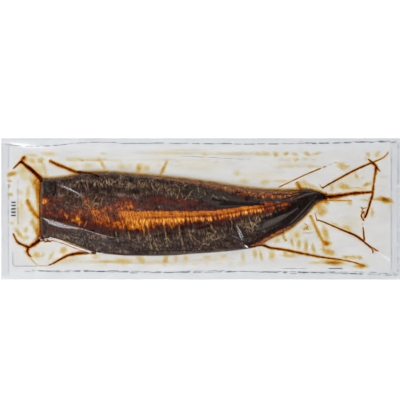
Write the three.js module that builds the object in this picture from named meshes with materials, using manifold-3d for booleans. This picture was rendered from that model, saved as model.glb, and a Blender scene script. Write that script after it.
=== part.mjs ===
// A grilled eel fillet, vacuum sealed in a clear flat pouch and lying skin side up.
// Millimetres, +Z up. X runs along the pouch from the cut head end to the tail, and Y across it.
// The origin is on the underside, at the middle of the pouch.
//
// The pouch and what it holds are one solid out to the film: a thin flange of two plies all round,
// and in it the fillet's bulge, from which the film comes down to the flange in a narrow tent.
// Where the film is pinched, sauce has run into the creases and stands up as ridges.
import * as THREE from "three";
import { mergeVertices } from "three/addons/utils/BufferGeometryUtils.js";
import Module from "manifold-3d";

// The pouch.
const POUCH_LENGTH = 400;
const POUCH_WIDTH = 141;
const FLANGE = 0.8; // both plies, with a little sauce and air between them
const SIDE_SEAL = 7; // width of the welded strip along each long edge
const EDGE_LIFT = 1.1; // mean height of the flange's rim above the table
const EDGE_RIPPLE = 0.6; // how far the rim waves up and down from that
const RIPPLE_LENGTH = 62; // from crest to crest along a long edge
const RIPPLE_SHIFT = 2.1; // how far the two long edges are out of step, in radians
const END_LIFT_REACH = 26; // how far in from a short edge the flange has come down to the table
const SIDE_LIFT_REACH = 14; // the same, from a long edge

// The fillet, as seen from above.
const HEAD_END = -160; // where the head was cut off
const TAIL_TIP = 124;
// Its two edges, from the head end to the tail tip.
const UPPER_EDGE = [
  [-160, 29.2], [-146, 29.6], [-134, 31.2], [-122, 33.6], [-108, 35.5], [-98, 35.7], [-80, 34.8],
  [-56, 32.8], [-32, 30.5], [-8, 27.8], [16, 24.6], [40, 21.0], [64, 18.1], [76, 17.8], [94, 17.9],
  [104, 18.8], [112, 17.7], [119, 16.0], [124, 14.2],
];
const LOWER_EDGE = [
  [-160, -29.6], [-150, -28.6], [-140, -30.4], [-128, -34.2], [-116, -38.8], [-104, -42.9], [-92, -44.7],
  [-74, -46.1], [-50, -46.3], [-32, -46.0], [-8, -44.3], [16, -42.7], [40, -40.2], [52, -38.2],
  [61, -34.2], [70, -28.7], [82, -22.4], [94, -14.4], [103, -6.4], [111, 2.4], [117, 7.6], [124, 10.6],
];
// The belly line, where the two flanks meet. Past the vent the flattened anal fin stands along it.
const BELLY_LINE = [
  [-160, 0.5], [-110, -7.5], [-71, -9.4], [-31, -8.3], [10, -7.0], [30, -4.2], [45, -1.2], [71, 3.2],
  [105, 10.0], [124, 12.4],
];
// Height of its thickest part above the table, along its length.
const CREST = [
  [-160, 11.8], [-140, 13.2], [-105, 15.2], [-55, 15.6], [0, 14.4], [50, 12.2], [88, 9.0], [110, 6.4],
  [124, 3.2],
];
// From the cut end on, the lower flank falls away from a shoulder: its y and its height.
const SHOULDER_LINE = [
  [-164, -7], [-153, -10], [-137, -14.6], [-118, -20], [-102, -24.6], [-84, -27.8], [-62, -29],
  [-40, -28.6], [0, -26],
];
const SHOULDER_TOP = [[-164, 12.1], [-150, 13], [-118, 14.9], [-100, 15.4], [-60, 15.4], [0, 14]];
const SHOULDER_BACK = 0.3; // slope up to the shoulder, away from the belly line
const SHOULDER_FALL = 0.48; // slope down from it to the edge
const SHOULDER_END = -80; // where the shoulder starts to level out
const SHOULDER_FADE = 95; // the length over which it does
const EDGE_SHARE = 0.36; // height of its rounded edges, as a share of the crest
const FLANK_ROUNDNESS = 3.2; // power of the curve by which a flank rounds off towards its edge
const FLANK_LEAST = 4.5; // width of a flank at and beyond the tail tip
const VALLEY = 0.2; // how deep the belly line lies between the two flanks, as a share of the crest
const VALLEY_WIDTH = 0.3; // as a share of a flank's width
const VALLEY_START = 50; // the length over which it deepens, from the head end
const FIN_START = -66; // where the anal fin rises, at the vent
const FIN_RISE = 20; // the length over which it reaches its full height
const FIN_HEIGHT = 0.9;
const FIN_WIDTH = 0.06; // as a share of a flank's width
const CUT_ROUNDING = 5; // the cut end rises to full height over this length
const TENT = 5.5; // how far out from the fillet the film meets the flange
const TENT_SAG = 1.6; // power of the curve in which it comes down

// The creases, each from its thick end to its thin end, with width and height at the thick end.
const CREASES = [
  // From the two corners of the head end, in hooks towards the short edge.
  { line: [[-158, 27], [-166, 35.5], [-179.5, 47.5], [-187, 40]], width: 3.2, height: 2.6 },
  { line: [[-159, -27], [-163.5, -33], [-172, -38.6], [-183.5, -33], [-187, -25]], width: 3, height: 2.4 },
  // Where the fillet widens behind the head, on both sides.
  { line: [[-106, 32], [-121, 36.4], [-136, 41], [-151, 48]], width: 3.2, height: 2.6 },
  { line: [[-106, -42], [-119, -44.1], [-135, -48], [-151, -56]], width: 3.0, height: 2.4 },
  // Straight on from the tail tip, and the long one slanting away from it.
  { line: [[121, 12.4], [140, 13.4], [150, 15.2], [162, 16.2], [170.5, 16.8]], width: 3.4, height: 2.2 },
  { line: [[121.4, 20.9], [140, 31.4], [155.5, 39.6], [171, 46.3], [187, 56.6]], width: 2.2, height: 1.6 },
  { line: [[78, 21.8], [106, 34.9], [136, 46.9]], width: 1.8, height: 1.2 },
  // The crooked one across the far end, with its lower part.
  { line: [[175, 41.8], [173.4, 31.1], [172, 18.9], [166.6, -2.1], [163.9, -9.4]], width: 2.4, height: 1.6 },
  { line: [[162, -17.5], [162.7, -31.5]], width: 1.8, height: 1.2 },
  // From the lower edge of the tail.
  { line: [[162.7, -33], [155.3, -27.2], [124.7, -14], [116.5, -10.9]], width: 2.2, height: 1.6 },
  { line: [[109, -6.2], [114.5, -18.1], [120.5, -30.1], [127, -36.6]], width: 2.6, height: 1.4 },
  { line: [[46, -37.4], [60, -36.1], [81, -40.5], [119, -48.1], [164, -57.3]], width: 2.6, height: 2.0 },
];
const CREASE_STEPS = 6; // lengths that each crease is built from, for each bend it takes
const CREASE_THIN_END = 0.35; // width and height at the thin end, as a share

// How finely the pouch's cross sections are spaced and divided.
const SECTION_PITCH = 5.2;
const SECTION_GAP_LEAST = 1.8; // between an evenly spaced section and a close one
const CLOSE_AT_CUT = [-3, -1.6, 0, 2.2, 4.4]; // close sections, measured from the cut end
const CLOSE_AT_TIP = [-5.5, -2.2, 0, 2.8, 5.5]; // the same, measured from the tail tip
const FLANK_STRIPS = 6; // across a flank
const FIN_STRIP = 0.09; // half the width of the strips along the fin, as a share of a flank's width
const TENT_KNEE = 0.4; // where the tent's two strips meet, as a share of its width
const FLANGE_STRIPS = 3; // across the flange on each side, between the seal and the tent
const MERGE_DISTANCE = 1e-4; // corners closer than this are one corner

const clamp01 = (v) => Math.min(1, Math.max(0, v));
const smooth = (v) => clamp01(v) ** 2 * (3 - 2 * clamp01(v));

// A smooth curve through [x, value] points that never overshoots them, as a function of x.
function curveThrough(points) {
  const slopes = points.map((point, i) => {
    if (i === 0 || i === points.length - 1) return 0;
    const before = (point[1] - points[i - 1][1]) / (point[0] - points[i - 1][0]);
    const after = (points[i + 1][1] - point[1]) / (points[i + 1][0] - point[0]);
    return before * after <= 0 ? 0 : (2 * before * after) / (before + after);
  });
  return (x) => {
    if (x <= points[0][0]) return points[0][1];
    const i = points.findIndex((point) => point[0] >= x);
    if (i < 0) return points[points.length - 1][1];
    const span = points[i][0] - points[i - 1][0];
    const u = (x - points[i - 1][0]) / span;
    const rise = slopes[i - 1] * u * (1 - u) ** 2 - slopes[i] * u ** 2 * (1 - u);
    return points[i - 1][1] + (points[i][1] - points[i - 1][1]) * smooth(u) + span * rise;
  };
}

const upperEdge = curveThrough(UPPER_EDGE);
const lowerEdge = curveThrough(LOWER_EDGE);
const bellyLine = curveThrough(BELLY_LINE);
const crest = curveThrough(CREST);
const shoulderLine = curveThrough(SHOULDER_LINE);
const shoulderTop = curveThrough(SHOULDER_TOP);

// Widths of the flank above the belly line and of the one below it.
const upperFlank = (x) => Math.max(upperEdge(x) - bellyLine(x), FLANK_LEAST);
const lowerFlank = (x) => Math.max(bellyLine(x) - lowerEdge(x), FLANK_LEAST);

// A place's share across the fillet: -1 at its lower edge, 0 on the belly line and 1 at its upper edge.
function acrossShare(x, y) {
  const fromBelly = y - bellyLine(x);
  return fromBelly / (fromBelly > 0 ? upperFlank(x) : lowerFlank(x));
}

// The flange's underside: flat on the table under the fillet, and waving a little way up at its rim.
function undersideHeight(x, y) {
  const sideShare = 1 - smooth((POUCH_WIDTH / 2 - Math.abs(y)) / SIDE_LIFT_REACH);
  const endShare = 1 - smooth((POUCH_LENGTH / 2 - Math.abs(x)) / END_LIFT_REACH);
  const phase = (2 * Math.PI * x) / RIPPLE_LENGTH + (y > 0 ? 0 : RIPPLE_SHIFT);
  const rim = EDGE_LIFT + EDGE_RIPPLE * Math.sin(phase);
  return rim * Math.max(sideShare, endShare);
}

// A height of the film on the lower flank, given the height it would have without the shoulder.
function withShoulder(x, y, plain) {
  const beyond = shoulderLine(x) - y;
  const back = Math.max(plain, shoulderTop(x) + SHOULDER_BACK * Math.min(beyond, 0));
  const face = shoulderTop(x) - SHOULDER_FALL * beyond;
  const bent = beyond < 0 ? back : Math.min(Math.max(plain, shoulderTop(x)), face);
  return bent + (plain - bent) * smooth((x - SHOULDER_END) / SHOULDER_FADE);
}

// How high the film stands above the table over the fillet, at y, a share across it from -1 to 1.
function filletHeight(x, y, across) {
  const dip = VALLEY * Math.exp(-((across / VALLEY_WIDTH) ** 2)) * smooth((x - HEAD_END) / VALLEY_START);
  const round = Math.sqrt(1 - Math.min(1, Math.abs(across)) ** FLANK_ROUNDNESS);
  const share = EDGE_SHARE + (1 - EDGE_SHARE) * round - dip * round;
  const fin = FIN_HEIGHT * Math.exp(-((across / FIN_WIDTH) ** 2)) * smooth((x - FIN_START) / FIN_RISE);
  const headRise = smooth((x - HEAD_END + CUT_ROUNDING / 2) / CUT_ROUNDING);
  const tailFall = 1 - smooth((x - TAIL_TIP) / TENT);
  return withShoulder(x, y, crest(x) * share + fin) * headRise * tailFall;
}

// Height of the film's top at a place in the pouch.
function filmTop(x, y) {
  const flange = undersideHeight(x, y) + FLANGE;
  const above = y - bellyLine(x) - upperFlank(x);
  const below = bellyLine(x) - lowerFlank(x) - y;
  const outside = Math.max(above, below, 0);
  const tent = (1 - clamp01(outside / TENT)) ** TENT_SAG;
  const atEdge = Math.max(y, bellyLine(x) - lowerFlank(x));
  return Math.max(flange, FLANGE + (filletHeight(x, atEdge, acrossShare(x, y)) - FLANGE) * tent);
}

// Where the cross sections stand along the pouch: evenly, and closer at the cut end and the tail tip.
function sectionPlaces() {
  const count = Math.round(POUCH_LENGTH / SECTION_PITCH);
  const close = CLOSE_AT_CUT.map((step) => HEAD_END + step);
  close.push(...CLOSE_AT_TIP.map((step) => TAIL_TIP + step));
  const places = [...close];
  for (let i = 0; i <= count; i++) {
    const x = -POUCH_LENGTH / 2 + (POUCH_LENGTH * i) / count;
    if (close.every((c) => Math.abs(x - c) > SECTION_GAP_LEAST)) places.push(x);
  }
  return places.sort((a, b) => a - b);
}

// The places from the belly line out to one long edge: fin, flank, tent, flange, seal.
function placesOutwards(x, side) {
  const flank = side > 0 ? upperFlank(x) : lowerFlank(x);
  const places = [bellyLine(x) + side * flank * FIN_STRIP];
  for (let i = 1; i <= FLANK_STRIPS; i++) {
    const share = Math.sin(((Math.PI / 2) * i) / FLANK_STRIPS); // closer towards the edge
    places.push(bellyLine(x) + side * flank * share);
  }
  const edge = bellyLine(x) + side * flank;
  const sealLine = side * (POUCH_WIDTH / 2 - SIDE_SEAL);
  places.push(edge + side * TENT * TENT_KNEE);
  for (let i = 0; i < FLANGE_STRIPS; i++) {
    places.push(edge + side * TENT + ((sealLine - edge - side * TENT) * i) / FLANGE_STRIPS);
  }
  places.push(sealLine, (side * POUCH_WIDTH) / 2);
  return places;
}

// One cross section of the pouch, anticlockwise as seen from +X: along the underside, then back over the top.
function pouchSection(x) {
  const rim = POUCH_WIDTH / 2;
  const under = [-rim, -rim + SIDE_SEAL, -rim + SIDE_LIFT_REACH, rim - SIDE_LIFT_REACH, rim - SIDE_SEAL, rim];
  const top = [...placesOutwards(x, 1).reverse(), bellyLine(x), ...placesOutwards(x, -1)];
  return [...under.map((y) => [x, y, undersideHeight(x, y)]), ...top.map((y) => [x, y, filmTop(x, y)])];
}

// Joins rings of points, each with the same number of points and turning the same way, into a closed body.
// A ring's own points [across, up] close the two ends.
function loft(rings, ends) {
  const size = rings[0].length;
  const index = [];
  for (let i = 0; i + 1 < rings.length; i++) {
    for (let j = 0; j < size; j++) {
      const a = i * size + j;
      const b = i * size + ((j + 1) % size);
      index.push(a, b, a + size, b, b + size, a + size);
    }
  }
  const last = (rings.length - 1) * size;
  const [first, final] = ends.map((end) => end.map(([across, up]) => new THREE.Vector2(across, up)));
  for (const [a, b, c] of THREE.ShapeUtils.triangulateShape(first, [])) index.push(a, c, b);
  for (const face of THREE.ShapeUtils.triangulateShape(final, [])) index.push(...face.map((i) => last + i));
  const geometry = new THREE.BufferGeometry();
  geometry.setAttribute("position", new THREE.Float32BufferAttribute(rings.flat(2), 3));
  geometry.setIndex(index);
  return geometry;
}

function pouchGeometry() {
  const rings = sectionPlaces().map(pouchSection);
  return loft(rings, [rings[0], rings[rings.length - 1]].map((ring) => ring.map((point) => point.slice(1))));
}

// A crease: a ridge with a three-sided section, tapering along its line, with its foot sunk in the flange.
function creaseGeometry({ line, width, height }) {
  const points = line.map(([x, y]) => new THREE.Vector3(x, y, 0));
  const curve = new THREE.CatmullRomCurve3(points, false, "centripetal");
  const steps = CREASE_STEPS * (line.length - 1);
  const rings = [];
  const sections = [];
  for (let i = 0; i <= steps; i++) {
    const u = i / steps;
    const at = curve.getPointAt(u);
    const along = curve.getTangentAt(u);
    const taper = 1 - (1 - CREASE_THIN_END) * u;
    const half = (width / 2) * taper;
    const foot = undersideHeight(at.x, at.y) + FLANGE / 2;
    const peak = foot + FLANGE / 2 + height * taper;
    const section = [[-half, foot], [half, foot], [0, peak]];
    sections.push(section);
    rings.push(section.map(([across, up]) => [at.x - along.y * across, at.y + along.x * across, up]));
  }
  return loft(rings, [sections[0], sections[steps]]);
}

const wasm = await Module();
wasm.setup();

// A closed geometry as a solid that can be joined to others, and back again.
function solidFrom(geometry) {
  const merged = mergeVertices(geometry, MERGE_DISTANCE);
  const vertProperties = merged.attributes.position.array;
  const triVerts = new Uint32Array(merged.index.array);
  return new wasm.Manifold(new wasm.Mesh({ numProp: 3, vertProperties, triVerts }));
}

function geometryFrom(solid) {
  const { vertProperties, triVerts } = solid.getMesh();
  const geometry = new THREE.BufferGeometry();
  geometry.setAttribute("position", new THREE.BufferAttribute(vertProperties, 3));
  geometry.setIndex(new THREE.BufferAttribute(triVerts, 1));
  geometry.computeVertexNormals();
  return geometry;
}

// The sealed pouch: the bulged body with every crease joined on.
function makePouch() {
  let solid = solidFrom(pouchGeometry());
  for (const crease of CREASES) solid = solid.add(solidFrom(creaseGeometry(crease)));
  const glazedSkin = new THREE.MeshStandardMaterial({ color: 0x4a2a16, roughness: 0.25, metalness: 0 });
  const pouch = new THREE.Mesh(geometryFrom(solid), glazedSkin);
  pouch.name = "sealed_eel_pouch";
  return pouch;
}

const grilledEel = new THREE.Group();
grilledEel.add(makePouch());

export default grilledEel;
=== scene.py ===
import math

import bmesh
import bpy
import numpy as np
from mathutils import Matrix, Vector


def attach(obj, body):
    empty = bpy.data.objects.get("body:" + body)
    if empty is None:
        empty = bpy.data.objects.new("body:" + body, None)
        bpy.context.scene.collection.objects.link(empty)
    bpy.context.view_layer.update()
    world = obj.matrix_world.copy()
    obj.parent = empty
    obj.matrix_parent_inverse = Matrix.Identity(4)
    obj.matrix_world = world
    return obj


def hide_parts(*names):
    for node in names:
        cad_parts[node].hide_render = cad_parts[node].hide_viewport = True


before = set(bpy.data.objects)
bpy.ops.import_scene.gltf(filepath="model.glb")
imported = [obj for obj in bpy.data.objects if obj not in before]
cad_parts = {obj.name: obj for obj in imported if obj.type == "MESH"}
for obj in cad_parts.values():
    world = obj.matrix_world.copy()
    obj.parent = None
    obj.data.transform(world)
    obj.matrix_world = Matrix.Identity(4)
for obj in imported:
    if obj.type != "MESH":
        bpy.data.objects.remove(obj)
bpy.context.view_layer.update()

# ---------------------------------------------------------------------------------------------
# The fillet. An eel opened along the back, its head cut off, grilled over charcoal and brushed
# with soy glaze. It lies skin side up: the pale belly with the anal fin runs down the middle,
# and the dark flanks lie on both sides of it. X runs from the cut end to the tail, Y across.
# ---------------------------------------------------------------------------------------------
MM = 0.001


def smooth(share):
    """An even S-curve from 0 to 1."""
    share = np.clip(share, 0, 1)
    return share * share * (3 - 2 * share)


def curve_through(*points):
    """A smooth curve through (x, value) points in mm that never overshoots them, as a function."""
    x, value = np.array(points, float).T * MM
    steps = np.diff(value) / np.diff(x)
    before, after = steps[:-1], steps[1:]
    same_way = before * after > 0
    slope = np.zeros(len(x))
    slope[1:-1][same_way] = 2 * (before * after)[same_way] / (before + after)[same_way]

    def at(places):
        places = np.clip(places, x[0], x[-1])
        i = np.clip(np.searchsorted(x, places) - 1, 0, len(x) - 2)
        span = x[i + 1] - x[i]
        u = (places - x[i]) / span
        rise = slope[i] * u * (1 - u) ** 2 - slope[i + 1] * u**2 * (1 - u)
        return value[i] + (value[i + 1] - value[i]) * smooth(u) + span * rise

    return at


HEAD_END = -160 * MM
TAIL_TIP = 124 * MM
upper_edge = curve_through(
    (-160, 29.2), (-146, 29.6), (-134, 31.2), (-122, 33.6), (-108, 35.5), (-98, 35.7), (-80, 34.8),
    (-56, 32.8), (-32, 30.5), (-8, 27.8), (16, 24.6), (40, 21.0), (64, 18.1), (76, 17.8), (94, 17.9),
    (104, 18.8), (112, 17.7), (119, 16.0), (124, 14.2),
)
lower_edge = curve_through(
    (-160, -29.6), (-150, -28.6), (-140, -30.4), (-128, -34.2), (-116, -38.8), (-104, -42.9),
    (-92, -44.7), (-74, -46.1), (-50, -46.3), (-32, -46.0), (-8, -44.3), (16, -42.7), (40, -40.2),
    (52, -38.2), (61, -34.2), (70, -28.7), (82, -22.4), (94, -14.4), (103, -6.4), (111, 2.4),
    (117, 7.6), (124, 10.6),
)
belly_line = curve_through(
    (-160, 0.5), (-110, -7.5), (-71, -9.4), (-31, -8.3), (10, -7.0), (30, -4.2), (45, -1.2),
    (71, 3.2), (105, 10.0), (124, 12.4),
)
crest = curve_through(
    (-160, 11.8), (-140, 13.2), (-105, 15.2), (-55, 15.6), (0, 14.4), (50, 12.2), (88, 9.0),
    (110, 6.4), (124, 3.2),
)
EDGE_SHARE = 0.36  # height of the rounded edges, as a share of the crest
FLANK_ROUNDNESS = 3.2  # power of the curve by which a flank rounds off
FLANK_LEAST = 4.5 * MM  # width of a flank under the film, at and beyond the tail tip
UPPER_TIP = 1.2 * MM  # widths of the flesh itself there, above and below the belly line
LOWER_TIP = 1.5 * MM
VALLEY = 0.2  # depth of the belly line between the flanks, as a share of the crest
VALLEY_WIDTH = 0.3  # as a share of a flank's width
VALLEY_START = 50 * MM  # the length over which it deepens, from the head end
FIN_START = -66 * MM
FIN_RISE = 20 * MM  # the length over which the fin gets to its height
FIN_HEIGHT = 0.9 * MM
FIN_WIDTH = 0.06  # as a share of a flank's width
CUT_ROUNDING = 5 * MM  # the length over which the fillet rounds off at its cut end
CUT_FACE = 1.2 * MM  # how much of that length the knife has taken off
FILM_GAP = 0.25 * MM  # glaze between the skin and the film


def upper_flank(x, least=FLANK_LEAST):
    """The fillet's width above its belly line."""
    return np.maximum(upper_edge(x) - belly_line(x), least)


def lower_flank(x, least=FLANK_LEAST):
    """The fillet's width below it."""
    return np.maximum(belly_line(x) - lower_edge(x), least)


# From the cut end on, the lower flank falls away from a shoulder: its y and its height over x.
shoulder_line = curve_through(
    (-164, -6), (-153, -8.8), (-137, -13.2), (-118, -18.6), (-102, -23.8), (-84, -27.6),
    (-62, -29), (-40, -28.6), (0, -26),
)
shoulder_top = curve_through((-164, 12.1), (-150, 13), (-118, 14.9), (-100, 15.4), (-60, 15.4), (0, 14))
SHOULDER_SLANT = 0.955  # distance square to the shoulder's line, as a share of that along Y
SHOULDER_BACK = 0.3  # slope up to the shoulder
FACE_SLOPE = 0.225  # slope down from it, at its start
FACE_BEND = 0.019 / MM  # by which that slope grows over the width of the face
face_width = curve_through(
    (-164, 0.4), (-157, 1.6), (-150, 5.4), (-143, 5.8), (-132, 4.2), (-121, 1.6), (-112, 0.2),
)
FALL = 0.52  # slope from the face down to the edge
CLEAR_OF_PLAIN = 5 * MM  # by here the face is lower than the flank would be without it
SHOULDER_END = -80 * MM  # from here it fades into the plain flank
SHOULDER_FADE = 95 * MM
LOWEST_SKIN = 1.6 * MM


def with_shoulder(x, y, plain):
    """The plain height of the film, with the shoulder and the steady fall on its far side."""
    beyond = (shoulder_line(x) - y) * SHOULDER_SLANT
    back = shoulder_top(x) + SHOULDER_BACK * np.clip(beyond, None, 0)
    past = np.clip(beyond, 0, None)
    near = np.minimum(past, face_width(x))
    face = shoulder_top(x) - FACE_SLOPE * near - FACE_BEND / 2 * near**2 - FALL * (past - near)
    fallen = np.where(beyond < CLEAR_OF_PLAIN, face, np.minimum(plain, face))
    bent = np.where(beyond < 0, np.maximum(plain, back), fallen)
    return bent + (plain - bent) * smooth((x - SHOULDER_END) / SHOULDER_FADE)


def wrapped_height(x, y, across):
    """How high the film stands over the fillet, at y, which is a share across it from -1 to 1."""
    across = np.clip(across, -1, 1)
    dip = VALLEY * np.exp(-((across / VALLEY_WIDTH) ** 2)) * smooth((x - HEAD_END) / VALLEY_START)
    rounding = np.sqrt(1 - np.abs(across) ** FLANK_ROUNDNESS)
    share = EDGE_SHARE + (1 - EDGE_SHARE) * rounding - dip * rounding
    fin = FIN_HEIGHT * np.exp(-((across / FIN_WIDTH) ** 2)) * smooth((x - FIN_START) / FIN_RISE)
    return np.maximum(with_shoulder(x, y, crest(x) * share + fin), LOWEST_SKIN)


SPECKLED_LENGTH = 520  # the area in mm, round the middle of the pouch, that chance fields cover
SPECKLED_WIDTH = 260
NOWHERE = 1e9  # a distance in mm that is beyond everything


def speckle(x, y, size_x, size_y, seed):
    """A smooth random field from -1 to 1, with features of about the given sizes in mm."""
    u = (x / MM + SPECKLED_LENGTH / 2) / size_x
    v = (y / MM + SPECKLED_WIDTH / 2) / size_y
    knots = (int(SPECKLED_LENGTH / size_x) + 3, int(SPECKLED_WIDTH / size_y) + 3)
    lattice = np.random.default_rng(seed).uniform(-1, 1, knots)
    i, j = np.floor(u).astype(int), np.floor(v).astype(int)
    a, b = smooth(u - i), smooth(v - j)
    near = lattice[i, j] * (1 - b) + lattice[i, j + 1] * b
    far = lattice[i + 1, j] * (1 - b) + lattice[i + 1, j + 1] * b
    return near * (1 - a) + far * a


def onset(place, start, length):
    """0 up to a start in mm, and 1 from a length beyond it."""
    return smooth((place - start) / length)


def band(y, low, high, soft):
    """1 between two heights across the fillet, falling to 0 over the soft width outside them."""
    return smooth((y - low) / soft + 1) * smooth((high - y) / soft + 1)


def patch(x, y, at_x, at_y, half_x, half_y, turn=0):
    """A soft round patch, sizes in mm, turned anticlockwise by degrees."""
    c, s = math.cos(math.radians(turn)), math.sin(math.radians(turn))
    dx, dy = x / MM - at_x, y / MM - at_y
    along, over = dx * c + dy * s, dy * c - dx * s
    return np.exp(-(((along / half_x) ** 2 + (over / half_y) ** 2) ** 1.5))


def line_mask(x, y, points, width=0.0):
    """1 on a line through points in mm, falling off over its width, or over each point's own."""
    near = np.full(np.shape(x), NOWHERE)
    for (ax, ay, *own_a), (bx, by, *own_b) in zip(points, points[1:]):
        dx, dy = bx - ax, by - ay
        share = np.clip(((x / MM - ax) * dx + (y / MM - ay) * dy) / (dx * dx + dy * dy), 0, 1)
        away = (x / MM - ax - share * dx) ** 2 + (y / MM - ay - share * dy) ** 2
        start = own_a[0] if own_a else width
        end = own_b[0] if own_b else width
        near = np.minimum(near, away / ((start + (end - start) * share) / 2) ** 2)
    return np.exp(-(near**1.5))


# The golden belly: its upper and lower limits across the skin.
gold_top = curve_through(
    (-160, -2), (-120, -1), (-87, -0.4), (-59, -2.1), (-11, -2.1), (10, -1.6), (20, -0.6),
    (30, 0.6), (50, 3.9), (62, 6.6), (71, 6.2), (89, 3.4), (124, 6),
)
gold_foot = curve_through(
    (-160, -19), (-110, -20.5), (-84, -22), (-59, -21.8), (-41, -19), (-16, -16.7), (-1, -14.6),
    (20, -12), (39, -9), (50, -6.8), (71, -4), (89, -1), (124, 0),
)
# Ember-coloured patches on the skin: x, y, half length, half width in mm, turn and strength.
EMBERS = [
    (-156.5, 7.6, 3.8, 3.6, 20, 0.8), (-153, 7, 9, 6, -10, 0.36), (-146, 4, 8, 4, -20, 0.3),
    (-157, -2, 4, 8, 0, 0.34), (-147, -4, 12, 5, -25, 0.36), (-133, -7.4, 2.6, 5.6, 25, 0.6),
    (-139, -3, 4, 3, 0, 0.42), (-121, -11.2, 3.2, 6.4, 20, 0.66), (-126, -9, 3, 5, 20, 0.5),
    (-107, -2.6, 9, 3.8, -14, 0.56), (-119, -6, 16, 7.5, -8, 0.34), (-98, -9, 14, 9, -10, 0.49),
    (-76, 3.6, 16, 8, 0, 0.44), (-72, 3, 7, 6, 0, 0.56), (-92, 0, 12, 4, 0, 0.38),
    (-84, -15, 16, 6.4, 0, 0.46), (-66, -12, 14, 9, 0, 0.72), (-66, -17, 9, 5, 0, 0.8),
    (-30, 7, 40, 5.5, -4, 0.27), (-20, 8.0, 7, 3.4, 10, 0.33), (-128, 7, 26, 6, -4, 0.2),
    (-113, 9, 4, 5, 10, 0.4), (82, 3.4, 11, 3.0, 14, 0.5), (62, 4.4, 9, 1.8, 14, 0.58),
    (98, 8, 7, 2.4, 20, 0.36), (66, -2, 12, 3.4, 16, 0.3),
]
# The slate-grey wedge of bare skin between the belly and the back's edge.
wedge_top = curve_through((-40, 23.4), (-11, 22.4), (9, 20.4), (20, 18.2), (30, 13.4), (49, 8.2), (62, 5.2))
wedge_foot = curve_through((-40, 20), (-11, 12.4), (9, 5.6), (20, 1.6), (30, 1.9), (49, 3.4), (62, 4.8))
# Painted sheen on smooth slate-grey folds of skin, most of them at the tail, lightest where the
# film over them mirrors the light: x, y and width at each point in mm, and strength.
SHEEN_LOBES = [
    ([(56, -19, 8), (64, -15.5, 9.5), (75, -11, 9), (86, -5, 6.6), (96, 1, 3)], 0.88),
    ([(57, -17, 3), (70, -12, 2.6), (84, -5, 2.0)], 0.92), ([(60, -20.4, 2), (74, -14.4, 1.6)], 0.85),
    ([(82, -18, 1.2), (91, -12, 2.0), (101, -2, 2.2), (108, 6, 2.2), (115, 13.5, 1.4)], 0.96),
    ([(91, 9, 1.8), (104, 14.2, 4.2), (115, 16.2, 2.8)], 0.88),
    ([(96, 11.4, 1.2), (106, 15, 1.8), (112, 16, 1.4)], 0.96),
    ([(54, 9, 2.0), (79, 9, 2.0), (92, 7.6, 1.4)], 0.8), ([(60, 12, 1.6), (86, 12, 1.6)], 0.66),
    ([(61, -26, 1.4), (82, -14.5, 1.4), (99, -1, 1.2)], 0.8), ([(92, 3.4, 1.6), (106, 9, 1.6)], 0.75),
    ([(30, -27, 3), (38, -29, 6), (46, -34, 3)], 0.8), ([(31, -26, 1.6), (42, -31.4, 2.2)], 1.0),
    ([(20, -23, 2), (30, -30, 2.6)], 0.8), ([(-153, 26, 8), (-152, 18, 8)], 0.7),
    ([(-155, 22, 1.4), (-149, 17, 1.4)], 0.9), ([(-154, -15, 2.4), (-138, -19, 2.4)], 0.7),
    ([(-98, 12, 3), (-84, 14, 3)], 0.3),
]
# Matt black creases: their points in mm, some with a width at each, the width of the others in mm,
# and strength.
CREASES = [
    ([(-106, 18.6), (-80, 19.2), (-56, 17.4)], 6.0, 0.45), ([(-100, 19), (-84, 19.4)], 2.4, 0.5),
    ([(-62, -41.4), (-34, -41.7), (-11, -41)], 1.5, 1.0), ([(-58.2, -33), (-58.2, -43)], 1.1, 1.0),
    ([(46, -36), (58, -30.4), (69, -24), (82, -17), (94, -6), (104, 4.4), (111, 11.4)], 3.6, 1.0),
    ([(60, -10, 1.6), (72, -6.6, 3.4), (86, -1.4, 5), (98, 5.4, 5), (108, 11, 3)], 0, 1.0),
    ([(93, 6.6), (105, 11.6), (115, 14.6)], 1.8, 1.0),
    ([(50, -34, 2), (58, -30, 4), (69, -23.6, 5), (82, -16.6, 4.4), (94, -6, 4), (104, 4, 3.4)], 0, 1.0),
    ([(88, 3), (76, 1)], 2, 0.6), ([(72, 14.4), (90, 14.6), (98, 17)], 1.2, 0.7),
    ([(84, 10.4), (96, 14)], 1.2, 0.8), ([(28, -11), (34, -20), (40, -30), (47, -36)], 2.4, 0.8),
    ([(-144.4, 28), (-144, 20), (-145.6, 14)], 2.2, 0.9), ([(20, 5.0), (44, 5.2), (62, 4.6)], 2.8, 1.0),
    ([(12, 10), (26, 7), (36, 6)], 2.6, 0.8), ([(-130, -26), (-100, -32), (-80, -34)], 2.2, 0.5),
    ([(-150, -20), (-132, -25), (-112, -31)], 3.0, 0.35), ([(20, -29), (34, -34.4)], 2.0, 0.7),
    ([(-46, -27), (-30, -24), (-16, -25)], 3.4, 0.55), ([(-2, -19), (10, -16.4)], 3.0, 0.6),
    ([(-12, -36), (2, -36.6)], 2.6, 0.5), ([(-90, -36), (-72, -38)], 2.6, 0.45),
    ([(-8, -24), (4, -30)], 1.8, 0.5), ([(-158, -12), (-154, -18), (-156, -24)], 3, 0.7),
]
# Tan and olive flecks on the flanks, and the belly's fine golden crackle, given like the embers.
FLECKS = [
    (-96, 25.4, 30, 3.8, -1, 0.9), (-66, 26, 30, 3, -6, 0.3), (49, -13, 11, 6, 14, 0.9),
    (10, -27, 8, 5, -20, 0.35), (72, -1, 17, 5, 18, 0.85), (30, -20, 6, 6, 0, 0.2),
    (-52, -32, 16, 10, 0, 0.3), (-128, -25, 24, 7, -16, 0.3),
]
CRACKLES = [
    (-111, 4, 48, 13, -4, 0.9), (-18, 18, 50, 6, -8, 0.5), (10, -28, 30, 8, 0, 0.16),
    (50, -14, 12, 8, 0, 0.3),
]
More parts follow.
